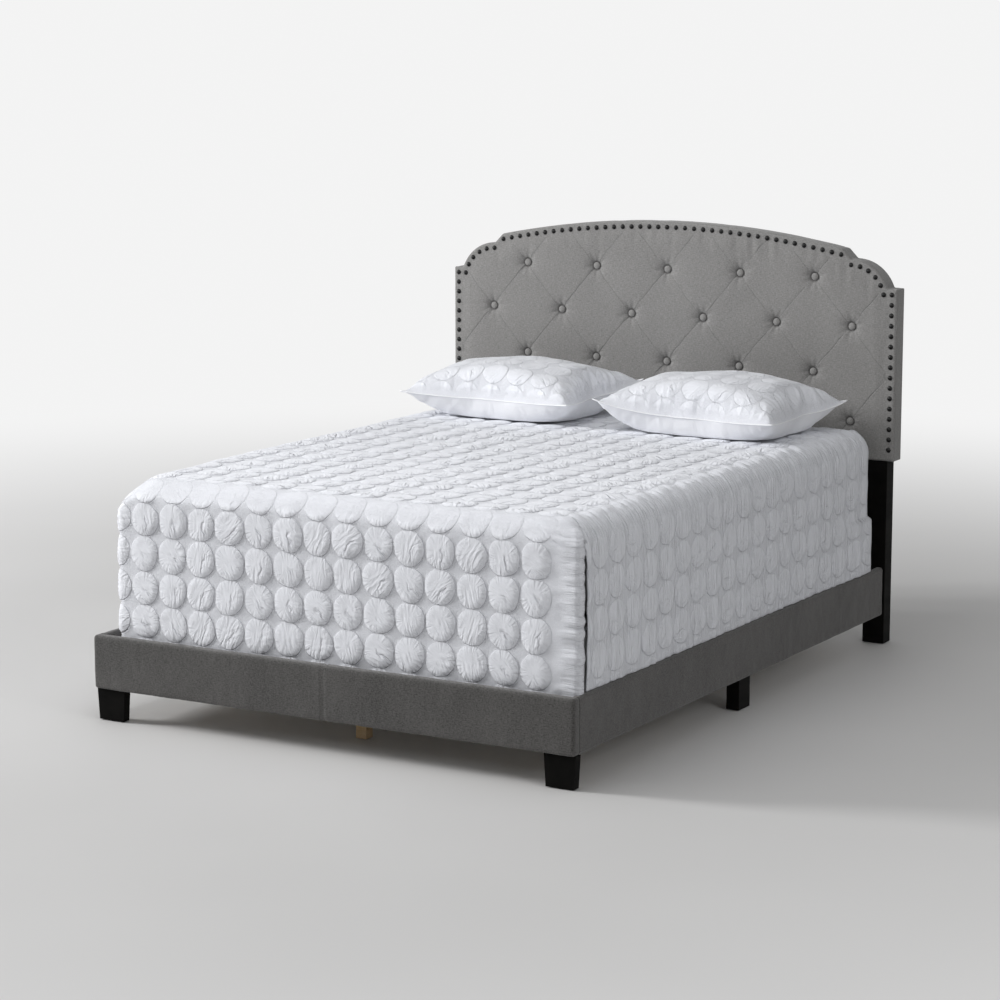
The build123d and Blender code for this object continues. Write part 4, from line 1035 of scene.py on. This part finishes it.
def make_pillow(name, seam_level, crown, corners, mirrored, seed):
    """A plump pillow: its quilted top and plain back meet at a piped seam."""
    flip = np.array((-1.0, 1.0, 1.0)) if mirrored else np.ones(3)
    order = slice(None, None, -1) if mirrored else slice(None)
    rest, top, low = (grid[order] * flip for grid in (case_rest, case_top, case_low))
    corners = np.array(corners)
    ends = top[[0, -1, -1, 0], [0, 0, -1, -1]]
    u, v = rest[..., 0] / case_width * 2, rest[..., 1] / case_depth * 2
    shares = corner_shares(u, v)
    plan = shares @ (corners - ends)[:, :2]
    tips = shares ** 5 @ (corners[:, 2] - seam_level)
    rim_u = (1 - np.abs(u)) * case_width / 2
    rim_v = (1 - np.abs(v)) * case_depth / 2
    rim = np.minimum(rim_u, rim_v)
    along = np.where(rim_u < rim_v, rest[..., 1], rest[..., 0])
    side = np.where(rim_u < rim_v, 1 + np.sign(u), 5 + np.sign(v))
    at_right = np.where(side == 2, 1.0, 0.0)
    gathers = soft_noise(points_at(along, rim * 0.2, side * 0.4), 0.013, seed)
    gathers *= (0.0022 + 0.0028 * at_right) * smooth(rim, 0.0, 0.02)
    gathers *= np.exp(-((rim - 0.035 - 0.02 * at_right) / (0.035 + 0.03 * at_right)) ** 2)
    floor, settle = quilt_high.z + 0.0006, 0.012
    high = top[..., 2].max()
    for quilted, grid in ((True, top), (False, low)):
        x, y, z = (grid[..., k] for k in range(3))
        if quilted:
            level = (np.maximum(z, 0) / high) ** 0.8 * (crown - seam_level)
            cloth_u = rest[..., 0] + first_column
            cloth_v = rest[..., 1] + case_depth / 2 - 0.098 + first_row
            wanted = 0.65 * smooth(rim, 0.016, 0.03)
            rise = circles(cloth_u, cloth_v, wanted, seed, 0.0025)
            rise = rise + gathers + 0.002 * soft_noise(rest, 0.08, seed + 1) - 0.004
            cloth = points_at(cloth_u, cloth_v, wanted).reshape(-1, 3)
            paint, label, slot = white_quilting, "quilted_top", "white_quilting"
            replaced = (f"{name}_top", f"{name}_filling")
        else:
            level = z * 0.095 / high
            slant = points_at(rest[..., 0] + rest[..., 1] * 0.7, rest[..., 1] * 0.1, 0)
            rise = 0.0022 * soft_noise(slant, 0.022, seed + 2) * smooth(-u, -0.1, 0.7)
            rise = rise * smooth(rim, 0.16, 0.03) + gathers * 0.5 + 0.002 * soft_noise(rest, 0.1, seed + 3)
            cloth = None
            paint, label, slot = white_cotton, "plain_back", "white_cotton"
            replaced = (f"{name}_back",)
        grid = points_at(x + plan[..., 0], y + plan[..., 1], seam_level + tips + level)
        normal = grid_normals(grid)
        if (normal[len(u) // 2, len(u[0]) // 2, 2] > 0) != quilted:
            normal = -normal
        grid = grid + normal * (rise * smooth(rim, 0.0, 0.008))[..., None]
        under = grid[..., 2] - floor
        pressed = settle * np.exp(np.minimum(under - settle, 0) / settle) - 0.0012
        grid[..., 2] = floor + np.where(under > settle, under, np.maximum(pressed, 0))
        faces = grid_faces(*u.shape)
        if mirrored == quilted:
            faces = faces[:, ::-1]
        piece = make_piece(f"{name}_{label}", name, slot, grid.reshape(-1, 3), faces, paint, cloth)
        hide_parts(*replaced)
        if quilted:
            seam = np.vstack([grid[:, 0], grid[-1, 1:], grid[-2::-1, -1], grid[0, -2:0:-1]])
    make_piece(f"{name}_piping", name, "white_cotton", *tape_edge(seam, 0.0024), white_cotton)


make_pillow("pillow_left", 0.808, 0.926,
            [(-0.69, 0.43, 0.822), (-0.04, 0.405, 0.82), (-0.03, 0.93, 0.85), (-0.69, 0.945, 0.83)],
            mirrored=True, seed=61)
make_pillow("pillow_right", 0.800, 0.926,
            [(0.055, 0.41, 0.848), (0.703, 0.385, 0.812), (0.728, 0.91, 0.83), (0.05, 0.945, 0.84)],
            mirrored=False, seed=71)


# Room, light and camera


white = (1, 1, 1, 1)
backdrop = 0.9


def stage_floor():
    """A plain pale floor, which keeps the shadow and is white far from the bed."""
    p = Paint("floor", 0.7)
    p.colour(p.ramp(p.noise(p.place, 0.7), (0.3, (0.58, 0.576, 0.572)), (0.7, (0.62, 0.616, 0.612))))
    x, y, z = p.parts(p.place)
    far = p.span(p.vector("LENGTH", p.join(x, y)), 1.2, 6.5)
    share = p.times(far, p.node("LightPath").outputs["Is Camera Ray"])
    glow = p.node("Emission", white, backdrop)
    mixed = p.node("MixShader", share, p.shader.outputs[0], glow.outputs[0])
    p.put(p.tree.nodes["Material Output"].inputs[0], mixed.outputs[0])
    end = 400
    corners = [(-end, -end, 0), (end, -end, 0), (end, end, 0), (-end, end, 0)]
    make_object("floor", corners, [(0, 1, 2, 3)], p.material)


def world_light(ambient):
    """An even pale world, white to the camera."""
    world = bpy.data.worlds.new("studio")
    bpy.context.scene.world = world
    world.use_nodes = True
    world.node_tree.nodes.clear()
    graph = Graph(world.node_tree)
    path = graph.node("LightPath").outputs
    seen = graph.math("MAXIMUM", path["Is Camera Ray"], path["Is Glossy Ray"])
    shades = [graph.node("Background", white, strength).outputs[0] for strength in (ambient, backdrop)]
    graph.node("OutputWorld", graph.node("MixShader", seen, *shades).outputs[0])


def lamp(name, place, target, size, power):
    light = bpy.data.lights.new(name, "AREA")
    light.size = size
    light.energy = power
    made = put_in_scene(name, light)
    made.location = place
    made.rotation_euler = (Vector(target) - Vector(place)).to_track_quat("-Z", "Y").to_euler()


def set_camera():
    """The photograph's camera, worked out from the bed's own straight edges."""
    data = bpy.data.cameras.new("camera")
    data.sensor_width = 36
    data.lens = 105.01
    data.clip_end = 200
    camera = put_in_scene("camera", data)
    camera.location = (4.472, -7.839, 2.118)
    camera.rotation_euler = (math.radians(90 - 9.715), 0, math.radians(30.006))
    bpy.context.scene.camera = camera


stage_floor()
world_light(0.28)
lamp("key", (-8.5, -3.35, 3.9), (0, 0, 0.6), 2.0, 730)
lamp("ceiling", (-0.2, -1.3, 2.9), (0, 0.2, 0.7), 2.0, 28)
lamp("front", (-1.5, -6.5, 4.5), (0, 0, 0.6), 3.0, 6)
lamp("fill", (5.4, -2.5, 3.0), (0.8, -0.2, 0.5), 2.0, 54)
set_camera()
bpy.context.scene.view_settings.view_transform = "Standard"
